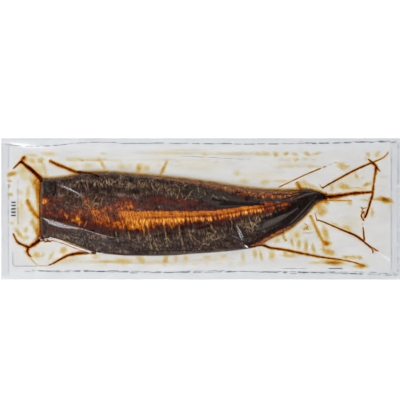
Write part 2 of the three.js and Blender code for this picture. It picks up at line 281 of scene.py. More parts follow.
# Golden wrinkles running out of the belly, where the skin has drawn together.
WRINKLES = [
    [(-57.4, -11.4), (-56.6, -19), (-56, -27.4)], [(-53.6, -11), (-51, -27), (-48.6, -40)],
    [(-37.4, -14.4), (-35, -25), (-32.4, -37.4)], [(-21.7, -16), (-20.3, -27)],
    [(-12.4, -20), (-8.2, -33)], [(-84, -22), (-82, -33)], [(-45, -34.4), (-43, -41)],
    [(-19.1, -26), (-18.5, -36)], [(-30, -12), (-29, -19)], [(-72, -23), (-70, -30)],
    [(9.6, -16), (11, -20), (15, -23)],
    [(-116.6, 10.8), (-114, 5), (-110.4, 2), (-106, 8), (-103.4, 12.4)],
    [(-108.4, 2), (-104, 6), (-101, 4)], [(-113, -12), (-115, -17)], [(-122, -5), (-124, -13)],
    [(-97, 11), (-99, 5)],
]
# Tan curls of skin on the dark flanks.
CURLS = [
    [(-61.5, 25.9), (-59.5, 21.9), (-56.5, 21.9), (-56, 25.9)],
    [(-49, 24.9), (-47, 19.9), (-43, 17.9), (-40.5, 21.9), (-42.5, 24.9)], [(-39, 24.9), (-37, 21.9)],
    [(-25, 23.9), (-21.5, 21.9), (-21, 17.9), (-23, 10.4)], [(-27, 22.9), (-26.5, 15.9)],
    [(-9.5, 17.9), (-12.5, 13.4), (-16, 9.4)], [(-16.5, 22.4), (-14, 23.9)], [(-3.5, 20.9), (-3, 16.9)],
    [(3.5, 18.3), (4, 13.9)], [(4.7, -26.1), (8, -23.6), (12, -27.1), (14.5, -22.6)],
    [(-8, -27), (-5, -31), (-2, -33)], [(6, -31), (9, -29), (13, -31), (17, -29)],
    [(20, -20), (24, -26), (22, -30)], [(28, -10), (31, -14), (30, -20)],
    [(40, -12), (45, -15), (50, -13), (56, -17)], [(41, -19), (46, -17), (52, -21)],
    [(-70, 24.4), (-68, 20.4), (-65, 22.4)], [(-30, 20.9), (-33, 17.9)], [(12, 13), (16, 11)],
    [(-36, -30), (-33, -28), (-30, -33)], [(0, -38), (3, -34), (8, -35)], [(22, 12), (26, 9)],
]
# How far in from the back's edge it's thin enough for the glaze to show brown: x and depth in mm.
RIM_DEPTHS = [(-165, 1.2), (-60, 1.8), (-31, 3.2), (0, 4.6), (20, 6.2), (61, 8.5), (90, 8), (104, 1)]
# A maroon stretch along the lower edge of the tail: x, y and width in mm.
MAROON_EDGE = [(50, -36.8, 2), (58, -34, 4), (67, -28.6, 4.6), (82, -21, 4), (89, -17.4, 1.8)]
STROKE_SLANT = 0.3  # of the brush strokes on the belly
WRINKLE_WIDTH = 0.9  # mm
CURL_WIDTH = 0.85


def skin_masks(x, y):
    """What the grill and the glaze have done at each place on the skin, as shares from 0 to 1."""
    x_mm, y_mm = x / MM, y / MM
    wander_x = x + (2.2 * speckle(x, y, 6, 6, 1) + 1.0 * speckle(x, y, 2.4, 2.8, 2)) * MM
    wander_y = y + (1.7 * speckle(x, y, 7, 5, 3) + 1.0 * speckle(x, y, 2.2, 2.0, 4)) * MM
    slanted = x + STROKE_SLANT * y
    stroke = speckle(slanted, y, 1.2, 11, 5)
    stroke_short = speckle(slanted, y, 1.5, 4.4, 6)

    # The belly: gold below its midline, fading out downwards in strokes.
    soft_top = (1.2 + 2.6 * (x_mm < -62)) * MM
    above = smooth((gold_top(x) + 0.5 * MM * stroke_short - y) / soft_top + 0.5)
    fade = 8.0 * MM + 3.0 * MM * onset(-x_mm, 50, 20)
    below = smooth((y - gold_foot(x) + (2.8 * stroke + 1.2 * stroke_short) * MM) / fade + 0.18)
    along = onset(wander_x / MM, -98, 30) * (1 - onset(wander_x / MM, 76, 20))
    golden = above * below * along * (1 - 0.4 * onset(x_mm, 50, 24))
    from_mid = (y - belly_line(x)) / MM
    midline = np.exp(-(from_mid**2)) * onset(x_mm, -66, 22)
    under_mid = np.exp(-(((from_mid + 2.8) / 2.2) ** 2)) * onset(x_mm, -74, 16)
    glow = 0.6 + 0.07 * speckle(x, y, 12, 5, 7)
    glow = glow + 0.2 * under_mid * (1 + 0.3 * stroke_short) - 0.26 * midline
    ember = golden * (glow + 0.05 * stroke + 0.03 * stroke_short)
    for *place, strength in EMBERS:
        glowing = patch(wander_x, wander_y, *place) * strength
        ember = np.maximum(ember, glowing * (0.9 + 0.3 * speckle(x, y, 2.4, 2.0, 21)))
    ruddy = band(wander_y, gold_foot(x) - 3 * MM, gold_top(x) + 11 * MM, 5 * MM)
    ruddy = ruddy * (1 - onset(x_mm, 40, 24))
    ember = np.maximum(ember, ruddy * (0.18 + 0.09 * speckle(x, y, 7, 4, 9)))
    from_cut = (x - HEAD_END) / MM
    ember = np.maximum(ember, 0.3 * onset(-from_cut, -2.6, 1.6))

    # Where the edges are thin, the glaze shows brown and see-through.
    rim_depth = np.interp(x_mm, *zip(*RIM_DEPTHS)) * MM + (0.9 * stroke_short + 0.6 * stroke) * MM
    rim = smooth((y - upper_edge(x) + rim_depth) / (2.2 * MM))
    rim = np.maximum(rim, 0.8 * smooth((lower_edge(x) + 0.8 * MM - y) / (1.0 * MM)))
    ember = np.maximum(ember, 0.3 * rim * onset(x_mm, 20, 30))
    maroon = line_mask(x, y, MAROON_EDGE)
    ember = np.maximum(ember, (0.46 + 0.12 * stroke_short) * maroon)

    # Tan and olive flecks on the flanks.
    olive = band(wander_y, lower_edge(x) + 2 * MM, gold_foot(x) - 5 * MM, 4 * MM)
    olive = olive * (1 - onset(x_mm, 4, 10)) * 0.1
    for *place, strength in FLECKS:
        olive = olive + patch(wander_x, wander_y, *place) * strength
    olive = np.clip(olive * (0.85 + 0.4 * speckle(x, y, 3.5, 5, 12)), 0, 1)

    # Smooth slate-grey skin in the wedge beside the belly, and painted sheen on the folds towards the tail.
    foot, top = wedge_foot(x) + 0.6 * MM * stroke_short, wedge_top(x) + 0.6 * MM * stroke
    slate_and_sheen = band(y, foot, top, 1.4 * MM)
    slate_and_sheen = slate_and_sheen * onset(x_mm, -30, 26) * (1 - onset(x_mm, 54, 8)) * 0.7
    # Each lobe paints the sheen of the film over a fold as lighter grey skin.
    for points, strength in SHEEN_LOBES:
        slate_and_sheen = np.maximum(slate_and_sheen, line_mask(x, y, points) * strength)

    # Black, matt creases, and the black skin that the tail's painted sheen stands out of.
    black = onset(x_mm - y_mm * 0.6, 82, 12) * (1 - slate_and_sheen) * (1 - 0.9 * maroon)
    for points, width, strength in CREASES:
        black = np.maximum(black, line_mask(x, y, points, width) * strength)
    black = np.maximum(black, onset(-from_cut, -0.8, 0.8) * 0.6)
    black = np.maximum(black, np.clip(speckle(x, y, 5, 3.4, 13) - 0.5, 0, 1) * (1 - golden) * 1.2)
    black = np.maximum(black, 0.19 * smooth((gold_foot(x) - 5 * MM - y) / (6 * MM)) * (1 - slate_and_sheen))
    near_edge = np.minimum(upper_edge(x) - y, y - lower_edge(x)) / MM
    charred_edge = 0.8 * np.exp(-(((near_edge - 0.2) / 0.9) ** 2))
    black = np.maximum(black, charred_edge * (1 - rim * 0.7))
    black = black * (1 - 0.85 * maroon)

    # Lines of drawn skin, which wander a little and are broken by chance.
    broken = np.clip(0.66 + 0.7 * speckle(x, y, 1.8, 1.8, 14), 0, 1)
    bent_x = wander_x * 0.25 + x * 0.75
    wrinkle = np.max([line_mask(bent_x, y, points, WRINKLE_WIDTH) for points in WRINKLES], 0)
    bent_x, bent_y = wander_x * 0.4 + x * 0.6, wander_y * 0.4 + y * 0.6
    curl = np.max([line_mask(bent_x, bent_y, points, CURL_WIDTH) for points in CURLS], 0)
    crackle = sum(patch(x, y, *place) * strength for *place, strength in CRACKLES)
    combed = onset(from_mid, -0.6, 1.2) * (1 - ruddy * 0.4) * onset(x_mm, -80, 20)
    return {
        "ember": ember, "comb": 1 - 0.8 * combed, "olive": olive, "slate_and_sheen": slate_and_sheen, "black": black,
        "rim": rim, "wrinkle": wrinkle * broken, "curl": curl * broken,
        "crackle": np.clip(crackle, 0, 1),
    }


SHRINK_SLANT = 0.18  # of the fine folds across the flanks
FINE_SHARE = 0.55  # of the finer ones among them


def cross_wrinkles(x, y):
    """Fine folds across the flanks, where grilling has shrunk the flesh under the skin."""
    slant = x + y * SHRINK_SLANT
    coarse = speckle(slant, y, 3.1, 8, 16)
    return speckle(slant, y, 1.5, 11, 15) * FINE_SHARE + coarse * (1 - FINE_SHARE)


def grid_faces(corners):
    """The squares of a grid whose corners are numbered as in the given table."""
    squares = [corners[:-1, :-1], corners[1:, :-1], corners[1:, 1:], corners[:-1, 1:]]
    return np.stack(squares, 2).reshape(-1, 4).tolist()


def new_mesh(name, places, faces, edges=(), **values):
    """A mesh with values at every vertex, under the names by which materials and trees read them."""
    mesh = bpy.data.meshes.new(name)
    mesh.from_pydata(places, edges, faces)
    for key, numbers in values.items():
        held = mesh.attributes.new(key, "FLOAT", "POINT")
        held.data.foreach_set("value", np.array(numbers, np.float32))
    return mesh


def add_piece(mesh):
    """A mesh as a smooth-shaded object in the scene, with its faces turned outwards."""
    shell = bmesh.new()
    shell.from_mesh(mesh)
    bmesh.ops.recalc_face_normals(shell, faces=shell.faces)
    shell.to_mesh(mesh)
    shell.free()
    mesh.shade_smooth()
    piece = bpy.data.objects.new(mesh.name, mesh)
    bpy.context.scene.collection.objects.link(piece)
    return piece


FILLET_COLUMNS = 470
SKIN_ROWS = 124
SIDE_ROWS = 5
FLESH_ROWS = 36
FLESH_LIFT = 0.4 * MM  # of the flesh side above the lower film
THINNEST = 0.3 * MM
TIP_TAPER = 9 * MM  # length over which the tail's tip thins out
TIP_THICKNESS = 0.35  # of the very tip, as a share of what it would be without that
SHRINK_RELIEF = 0.16 * MM  # heights of the fine folds, the drawn lines and the pores
LINE_RELIEF = 0.25 * MM
PORE_RELIEF = 0.12 * MM
CREASE_DEPTH = 0.4 * MM
SIDE_BULGE = 0.5 * MM
SIDE_ROUNDNESS = 1.4  # power by which the sides round under
FLESH_WIDTH = 0.985  # of the flesh side, as a share of the skin's
CHEVRON_PITCH = 6.5  # of the grooves between the bands of flesh, in mm
CHEVRON_SLANT = 0.55
CHEVRON_WANDER = 1.5  # mm
GROOVE_SHARPNESS = 0.35
GROOVE_DEPTH = 0.55  # as a share of the flesh side's lift
FLESH_RELIEF = 0.1 * MM
CUT_RINGS = 4
CUT_BULGE = 0.9 * MM  # of the slice's middle, and its roughness
CUT_ROUGHNESS = 0.35 * MM
CUT_NARROWING = 0.05  # of the rings on the cut, as a share of their width
SIDE_FLESH = 0.25  # how much bare flesh shows on the sides, and on the cut
CUT_FLESH = 0.8


def fillet_section(x):
    """Rows of points round the fillet: y, z and how much bare flesh shows, from one edge on."""
    high, low, belly = upper_flank(x, UPPER_TIP), lower_flank(x, LOWER_TIP), belly_line(x)
    rounding = np.sqrt(smooth((x - HEAD_END + CUT_FACE) / CUT_ROUNDING))
    tip = TIP_THICKNESS + (1 - TIP_THICKNESS) * np.sqrt(np.clip((TAIL_TIP - x) / TIP_TAPER, 0, 1))
    rows = []
    for share in np.sin(np.linspace(-math.pi / 2, math.pi / 2, SKIN_ROWS)):
        y = belly + np.where(share > 0, high, low) * share
        z = wrapped_height(x, y, share) - FILM_GAP
        masks = skin_masks(x, y)
        z += SHRINK_RELIEF * cross_wrinkles(x, y) * (1 - masks["slate_and_sheen"])
        z += LINE_RELIEF * (masks["wrinkle"] + masks["curl"])
        z -= CREASE_DEPTH * np.clip(masks["black"], 0, 1)
        z += PORE_RELIEF * speckle(x, y, 1.3, 1.3, 17) * (1 - masks["slate_and_sheen"])
        rows.append((y, FLESH_LIFT + np.maximum(z - FLESH_LIFT, THINNEST) * rounding * tip, 0.0))
    upper_side = [(belly + high + bulge, z, SIDE_FLESH) for bulge, z in rounded_side(rows[-1][1])]
    lower_side = [(belly - low - bulge, z, SIDE_FLESH) for bulge, z in rounded_side(rows[0][1])]
    rows += upper_side
    for share in np.linspace(1, -1, FLESH_ROWS):
        y = belly + np.where(share > 0, high, low) * share * FLESH_WIDTH
        chevron = x / MM + np.abs(y / MM) * CHEVRON_SLANT + CHEVRON_WANDER * speckle(x, y, 9, 9, 18)
        groove = np.abs(np.sin(chevron * math.pi / CHEVRON_PITCH)) ** GROOVE_SHARPNESS
        z = FLESH_LIFT * (1 + GROOVE_DEPTH - GROOVE_DEPTH * groove)
        rows.append((y, z + FLESH_RELIEF * speckle(x, y, 2, 2, 19), 1.0))
    return rows + lower_side[::-1]


def rounded_side(top):
    """How far a side stands out and how high it is, on its way down from the skin."""
    for turn in np.linspace(0, math.pi / 2, SIDE_ROWS + 2)[1:-1]:
        height = FLESH_LIFT + (top - FLESH_LIFT) * math.cos(turn) ** SIDE_ROUNDNESS
        yield SIDE_BULGE * math.sin(2 * turn), height


def build_fillet():
    """The closed fillet: its section at every place from the cut end to the tail."""
    x = np.linspace(HEAD_END, TAIL_TIP, FILLET_COLUMNS)
    rows = fillet_section(x)
    count = len(rows)
    points = np.stack([np.stack([x, y, z], 1) for y, z, _ in rows], 1).reshape(-1, 3)
    flesh = np.tile([bare for _, _, bare in rows], FILLET_COLUMNS)
    corners = np.arange(FILLET_COLUMNS * count).reshape(-1, count)
    faces = grid_faces(np.hstack([corners, corners[:, :1]]))

    # The cut end: rings that close in on the middle of the slice, with its flesh standing out.
    ring = points[:count]
    skin_height = np.interp(ring[:, 1], ring[:SKIN_ROWS, 1], ring[:SKIN_ROWS, 2])
    middle = FLESH_LIFT + (skin_height - FLESH_LIFT) / 2
    previous = list(range(count))
    for number in range(1, CUT_RINGS + 1):
        share = number / (CUT_RINGS + 0.4)
        inner = ring.copy()
        inner[:, 2] += (middle - ring[:, 2]) * share
        inner[:, 1] *= 1 - CUT_NARROWING * share
        rough = speckle(inner[:, 1] * 3, inner[:, 2] * 6, 5, 5, 20)
        inner[:, 0] -= CUT_BULGE * math.sin(share * math.pi / 2) + CUT_ROUGHNESS * rough * share
        now = [len(points) + i for i in range(count)]
        points = np.vstack([points, inner])
        flesh = np.append(flesh, np.full(count, CUT_FLESH))
        nexts = [(i + 1) % count for i in range(count)]
        faces += [[previous[i], previous[j], now[j], now[i]] for i, j in enumerate(nexts)]
        previous = now
    faces.append(previous)
    last = (FILLET_COLUMNS - 1) * count
    faces.append([last + i for i in reversed(range(count))])

    masks = skin_masks(points[:, 0], points[:, 1])
    return add_piece(new_mesh("eel_fillet", points.tolist(), faces, **masks, flesh=flesh))


def colour(red, green, blue):
    """A colour as it looks on a screen, 0 to 255, as the shader wants it."""
    parts = [c / 255 for c in (red, green, blue)]
    return tuple(c / 12.92 if c < 0.04045 else ((c + 0.055) / 1.055) ** 2.4 for c in parts) + (1.0,)


class Wiring:
    """A node tree being put together."""

    def __init__(self, tree):
        self.tree = tree

    def socket(self, name, way, kind):
        """A socket on the outside of the tree, when it's a group."""
        self.tree.interface.new_socket(name, in_out=way, socket_type="NodeSocket" + kind)

    def node(self, kind, settings=None, **inputs):
        """A node with its settings, and its inputs set to a value or linked to another's output.

        Inputs go by their names, or by their numbers as i0, i1 and so on.
        """
        node = self.tree.nodes.new(kind)
        for key, value in (settings or {}).items():
            setattr(node, key, value)
        for key, value in inputs.items():
            socket = node.inputs[int(key[1:])] if key[0] == "i" and key[1:].isdigit() else None
            socket = socket or node.inputs[key.replace("_", " ")]
            if isinstance(value, bpy.types.NodeSocket):
                self.tree.links.new(value, socket)
            else:
                socket.default_value = value
        return node

    def maths(self, operation, a, b=0.0):
        """One sum on two values, by the name that the node has for it."""
        return self.node("ShaderNodeMath", {"operation": operation}, i0=a, i1=b).outputs[0]

    def times(self, a, b):
        return self.maths("MULTIPLY", a, b)

    def blend(self, *parts):
        """The sum of several values, each with its weight."""
        weighted = [self.times(value, weight) for value, weight in parts]
        total = weighted[0]
        for part in weighted[1:]:
            total = self.maths("ADD", total, part)
        return total

    def spread(self, value, low, high, to_low=0.0, to_high=1.0):
        """A value moved in a straight line from one range to another, and kept inside it."""
        return self.node("ShaderNodeMapRange", None, Value=value, From_Min=low, From_Max=high,
                         To_Min=to_low, To_Max=to_high).outputs[0]


def build_grain():
    """The grain of every material: noise in the piece's own coordinates, from about 0 to 1."""
    grain = Wiring(bpy.data.node_groups.new("grain", "ShaderNodeTree"))
    grain.socket("Size", "INPUT", "Vector")
    for name in ("Turn", "Detail", "Roughness"):
        grain.socket(name, "INPUT", "Float")
    grain.socket("Grain", "OUTPUT", "Float")
    given = grain.node("NodeGroupInput").outputs
    own = grain.node("ShaderNodeTexCoord").outputs["Object"]
    upright = grain.node("ShaderNodeCombineXYZ", None, Z=given["Turn"]).outputs[0]
    placed = grain.node("ShaderNodeMapping", {"vector_type": "TEXTURE"}, Vector=own,
                        Rotation=upright, Scale=given["Size"]).outputs[0]
    noise = grain.node("ShaderNodeTexNoise", None, Vector=placed, Scale=1.0, Detail=given["Detail"],
                       Roughness=given["Roughness"]).outputs["Fac"]
    grain.node("NodeGroupOutput", None, Grain=grain.spread(noise, 0.3, 0.7))
    return grain.tree


grain_group = build_grain()


class Recipe(Wiring):
    """A material being put together from nodes."""

    def __init__(self, name):
        self.material = bpy.data.materials.new(name)
        self.material.use_nodes = True
        super().__init__(self.material.node_tree)
        self.tree.nodes.clear()

    def mask(self, name):
        """A value that the mesh holds at every vertex."""
        return self.node("ShaderNodeAttribute", {"attribute_name": name}).outputs["Fac"]

    def mix(self, share, a, b):
        return self.node("ShaderNodeMix", {"data_type": "RGBA"}, i0=share, i6=a, i7=b).outputs[2]

    def ramp(self, value, *stops):
        """The colour that a value from 0 to 1 gets on a scale of colours."""
        node = self.node("ShaderNodeValToRGB", None, Fac=value)
        marks = node.color_ramp.elements
        marks.remove(marks[1])
        marks[0].position, marks[0].color = stops[0]
        for place, shade in stops[1:]:
            marks.new(place).color = shade
        return node.outputs["Color"]

    def grain(self, size_x, size_y, turn=0.0, detail=3.0, roughness=0.6):
        """The shared grain, with features of the given sizes in mm, turned by degrees."""
        size = (size_x * MM, size_y * MM, size_x * MM)
        return self.node("ShaderNodeGroup", {"node_tree": grain_group}, Size=size,
                         Turn=math.radians(turn), Detail=detail, Roughness=roughness).outputs[0]

    def net(self, size, width):
        """Thin crooked lines between cells of the given size in mm, 1 on the lines."""
        own = self.node("ShaderNodeTexCoord").outputs["Object"]
        placed = self.node("ShaderNodeMapping", {"vector_type": "TEXTURE"}, Vector=own,
                           Scale=(size * MM, size * MM, size * MM)).outputs[0]
        bend = self.node("ShaderNodeTexNoise", None, Vector=placed, Scale=1.3, Detail=2.0)
        bent = self.node("ShaderNodeVectorMath", {"operation": "MULTIPLY_ADD"},
                         i0=bend.outputs["Color"], i1=(1.6, 1.6, 1.6), i2=placed).outputs[0]
        cells = self.node("ShaderNodeTexVoronoi", {"feature": "DISTANCE_TO_EDGE"}, Vector=bent, Scale=1.0)
        return self.spread(cells.outputs["Distance"], 0.0, width, 1.0, 0.0)

    def bump(self, height, strength, depth):
        """The surface's normal over a height map whose full range is the given depth in mm."""
        node = self.node("ShaderNodeBump", None, Strength=strength, Distance=depth * MM, Height=height)
        return node.outputs[0]

    def body(self, **looks):
        """A solid surface."""
        return self.node("ShaderNodeBsdfPrincipled", None, **looks).outputs[0]

    def gloss(self, **looks):
        """A colourless mirror."""
        return self.node("ShaderNodeBsdfGlossy", None, Color=(1, 1, 1, 1), **looks).outputs[0]

    def fading(self, tint, depth):
        """The colour of light that has passed a depth of something that tints it."""
        return self.node("ShaderNodeGamma", None, Color=tint, Gamma=depth).outputs[0]

    def finish(self, surface):
        """The material, once its surface is known."""
        self.node("ShaderNodeOutputMaterial", None, Surface=surface)
        return self.material

    def finish_clear(self, tint, share, surface):
        """Finishes a see-through material, which shows its own surface by a share."""
        clear = self.node("ShaderNodeBsdfTransparent", None, Color=tint).outputs[0]
        return self.finish(
            self.node("ShaderNodeMixShader", None, i0=share, i1=clear, i2=surface).outputs[0])


def skin_material():
    """Skin under its glaze: masks from the mesh choose the colour, and strokes break it up."""
    skin = Recipe("glazed_skin")
    strokes = skin.grain(1.3, 9.0, turn=14, detail=4)
    hatch = skin.grain(1.1, 4.4, turn=-24)
    grit = skin.grain(1.1, 1.1, detail=2)
    long_streaks = skin.grain(9, 1.3, turn=-5, detail=4)
    tone = skin.spread(skin.blend((strokes, 0.56), (hatch, 0.3), (grit, 0.14)), 0.26, 0.74)

    # Gold where the embers' heat has reached, its strokes upright or lengthwise.
    upright = skin.mask("comb")
    lengthwise = skin.maths("SUBTRACT", 1.0, upright)
    upright_sway = skin.times(skin.maths("SUBTRACT", tone, 0.5), upright)
    lengthwise_sway = skin.maths("SUBTRACT", skin.times(long_streaks, 0.7), 0.35)
    sway = skin.maths("ADD", upright_sway, skin.times(lengthwise_sway, lengthwise))
    ember = skin.mask("ember")
    swing = skin.times(skin.spread(ember, 0.05, 0.7, 0.06, 0.72), sway)
    ember = skin.maths("ADD", ember, swing)
    embers = skin.ramp(
        ember,
        (0.0, colour(26, 13, 13)), (0.12, colour(46, 20, 21)), (0.25, colour(84, 31, 23)),
        (0.38, colour(124, 50, 19)), (0.52, colour(178, 88, 14)), (0.68, colour(212, 124, 20)),
        (0.84, colour(232, 152, 40)), (1.0, colour(246, 196, 92)),
    )

    # The dark flanks, with tan flecks.
    flank = skin.ramp(
        skin.blend((tone, 0.5), (skin.grain(11, 5), 0.5)),
        (0.12, colour(16, 8, 6)), (0.32, colour(36, 22, 20)), (0.52, colour(70, 50, 43)),
        (0.72, colour(102, 79, 66)), (0.92, colour(152, 128, 108)),
    )
    tan = skin.ramp(
        tone,
        (0.25, colour(28, 18, 15)), (0.45, colour(66, 47, 37)), (0.68, colour(132, 105, 80)),
        (0.95, colour(188, 166, 134)),
    )
    flank = skin.mix(skin.spread(skin.mask("olive"), 0.05, 0.8), flank, tan)
    shade = skin.mix(skin.spread(ember, 0.08, 0.26), flank, embers)

    # Bare slate-grey skin and the painted sheen of the tail's folds, then brown glaze along the edges,
    # then the black creases.
    # The lightest greys on this scale are painted sheen.
    slate_and_sheen = skin.ramp(
        skin.blend((skin.mask("slate_and_sheen"), 0.8), (grit, 0.2)),
        (0.2, colour(14, 8, 7)), (0.6, colour(44, 36, 34)), (0.84, colour(90, 79, 75)),
        (1.0, colour(140, 126, 118)),
    )
    shade = skin.mix(skin.spread(skin.mask("slate_and_sheen"), 0.25, 0.42), shade, slate_and_sheen)
    glaze_edge = skin.ramp(
        skin.blend((long_streaks, 0.4), (tone, 0.6)),
        (0.15, colour(74, 24, 10)), (0.4, colour(124, 58, 30)), (0.6, colour(154, 88, 46)),
        (0.9, colour(222, 168, 104)),
    )
    shade = skin.mix(skin.mask("rim"), shade, glaze_edge)
    thinned = skin.spread(tone, 0.2, 0.8, 1.0, 0.8)
    charred = skin.times(skin.spread(skin.mask("black"), 0.05, 0.6), thinned)
    shade = skin.mix(charred, shade, colour(13, 5, 4))

    # Fine golden lines, and the bare flesh of the underside.
    patchy = skin.spread(skin.grain(2.6, 2.6, detail=1), 0.35, 0.75)
    crackle = skin.times(skin.times(skin.net(3.0, 0.075), skin.mask("crackle")), patchy)
    gilt = skin.ramp(
        ember,
        (0.1, colour(176, 146, 92)), (0.3, colour(206, 128, 44)), (0.7, colour(246, 184, 76)),
    )
    shade = skin.mix(skin.times(crackle, 0.75), shade, gilt)
    shade = skin.mix(skin.times(skin.mask("wrinkle"), 0.9), shade, gilt)
    shade = skin.mix(skin.times(skin.mask("curl"), 0.75), shade, colour(176, 150, 106))
    flesh = skin.ramp(
        skin.grain(5, 5, detail=5),
        (0.0, colour(84, 44, 18)), (0.5, colour(140, 82, 32)), (1.0, colour(190, 132, 66)),
    )
    shade = skin.mix(skin.spread(skin.mask("flesh"), 0.3, 0.9), shade, flesh)
    return skin.finish(skin.body(
        Base_Color=shade, Roughness=skin.spread(grit, 0.0, 1.0, 0.28, 0.5),
        Normal=skin.bump(tone, 0.5, 0.4), Specular_IOR_Level=0.22, Coat_Weight=0.12,
        Coat_Roughness=0.2,
    ))


fillet = build_fillet()
fillet.data.materials.append(skin_material())
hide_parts("sealed_eel_pouch")
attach(fillet, "root")

# ---------------------------------------------------------------------------------------------
# Glaze in the creases. Where vacuum has pinched the two plies together round the fillet, the
# dark soy glaze has run out into the creases. It's nearly black where it's thick, and amber
# where it thins out. A few thin dark lines among them paint the shadow beside a white crease.
# ---------------------------------------------------------------------------------------------
POUCH_LENGTH = 400 * MM
POUCH_WIDTH = 141 * MM
EDGE_LIFT = 1.1 * MM  # how far the rim stands up off the table, and the height of its waves
EDGE_RIPPLE = 0.6 * MM
RIPPLE_LENGTH = 62 * MM
RIPPLE_SHIFT = 2.1  # between the waves of the two long edges, in radians
END_LIFT_REACH = 26 * MM  # how far in from the ends and from the long edges the film is lifted
SIDE_LIFT_REACH = 14 * MM
TENT = 5.5 * MM  # how far from the fillet the upper ply comes down to the lower one
TENT_SAG = 1.6  # power by which it sags on the way
PLY_GAP = 0.35 * MM  # between the two plies of the flange


def flange_height(x, y):
    """The lower ply, flat on the table under the fillet and waving a little way up at the rim."""
    side = 1 - smooth((POUCH_WIDTH / 2 - np.abs(y)) / SIDE_LIFT_REACH)
    end = 1 - smooth((POUCH_LENGTH / 2 - np.abs(x)) / END_LIFT_REACH)
    phase = 2 * math.pi * x / RIPPLE_LENGTH + np.where(y > 0, 0, RIPPLE_SHIFT)
    return (EDGE_LIFT + EDGE_RIPPLE * np.sin(phase)) * np.maximum(side, end)


def film_height(x, y):
    """The upper ply: tight over the fillet, and down to the flange in a tent round it."""
    from_belly = y - belly_line(x)
    flank = np.where(from_belly > 0, upper_flank(x), lower_flank(x))
    outside = np.maximum(np.abs(from_belly) - flank, 0)
    tent = (1 - np.clip(outside / TENT, 0, 1)) ** TENT_SAG
    over = wrapped_height(x, np.clip(y, belly_line(x) - flank, None), from_belly / flank)
    over = over * smooth((x - HEAD_END + CUT_ROUNDING / 2) / CUT_ROUNDING)
    over = over * (1 - smooth((x - TAIL_TIP) / TENT))
    return np.maximum(flange_height(x, y) + PLY_GAP, PLY_GAP + (over - PLY_GAP) * tent)


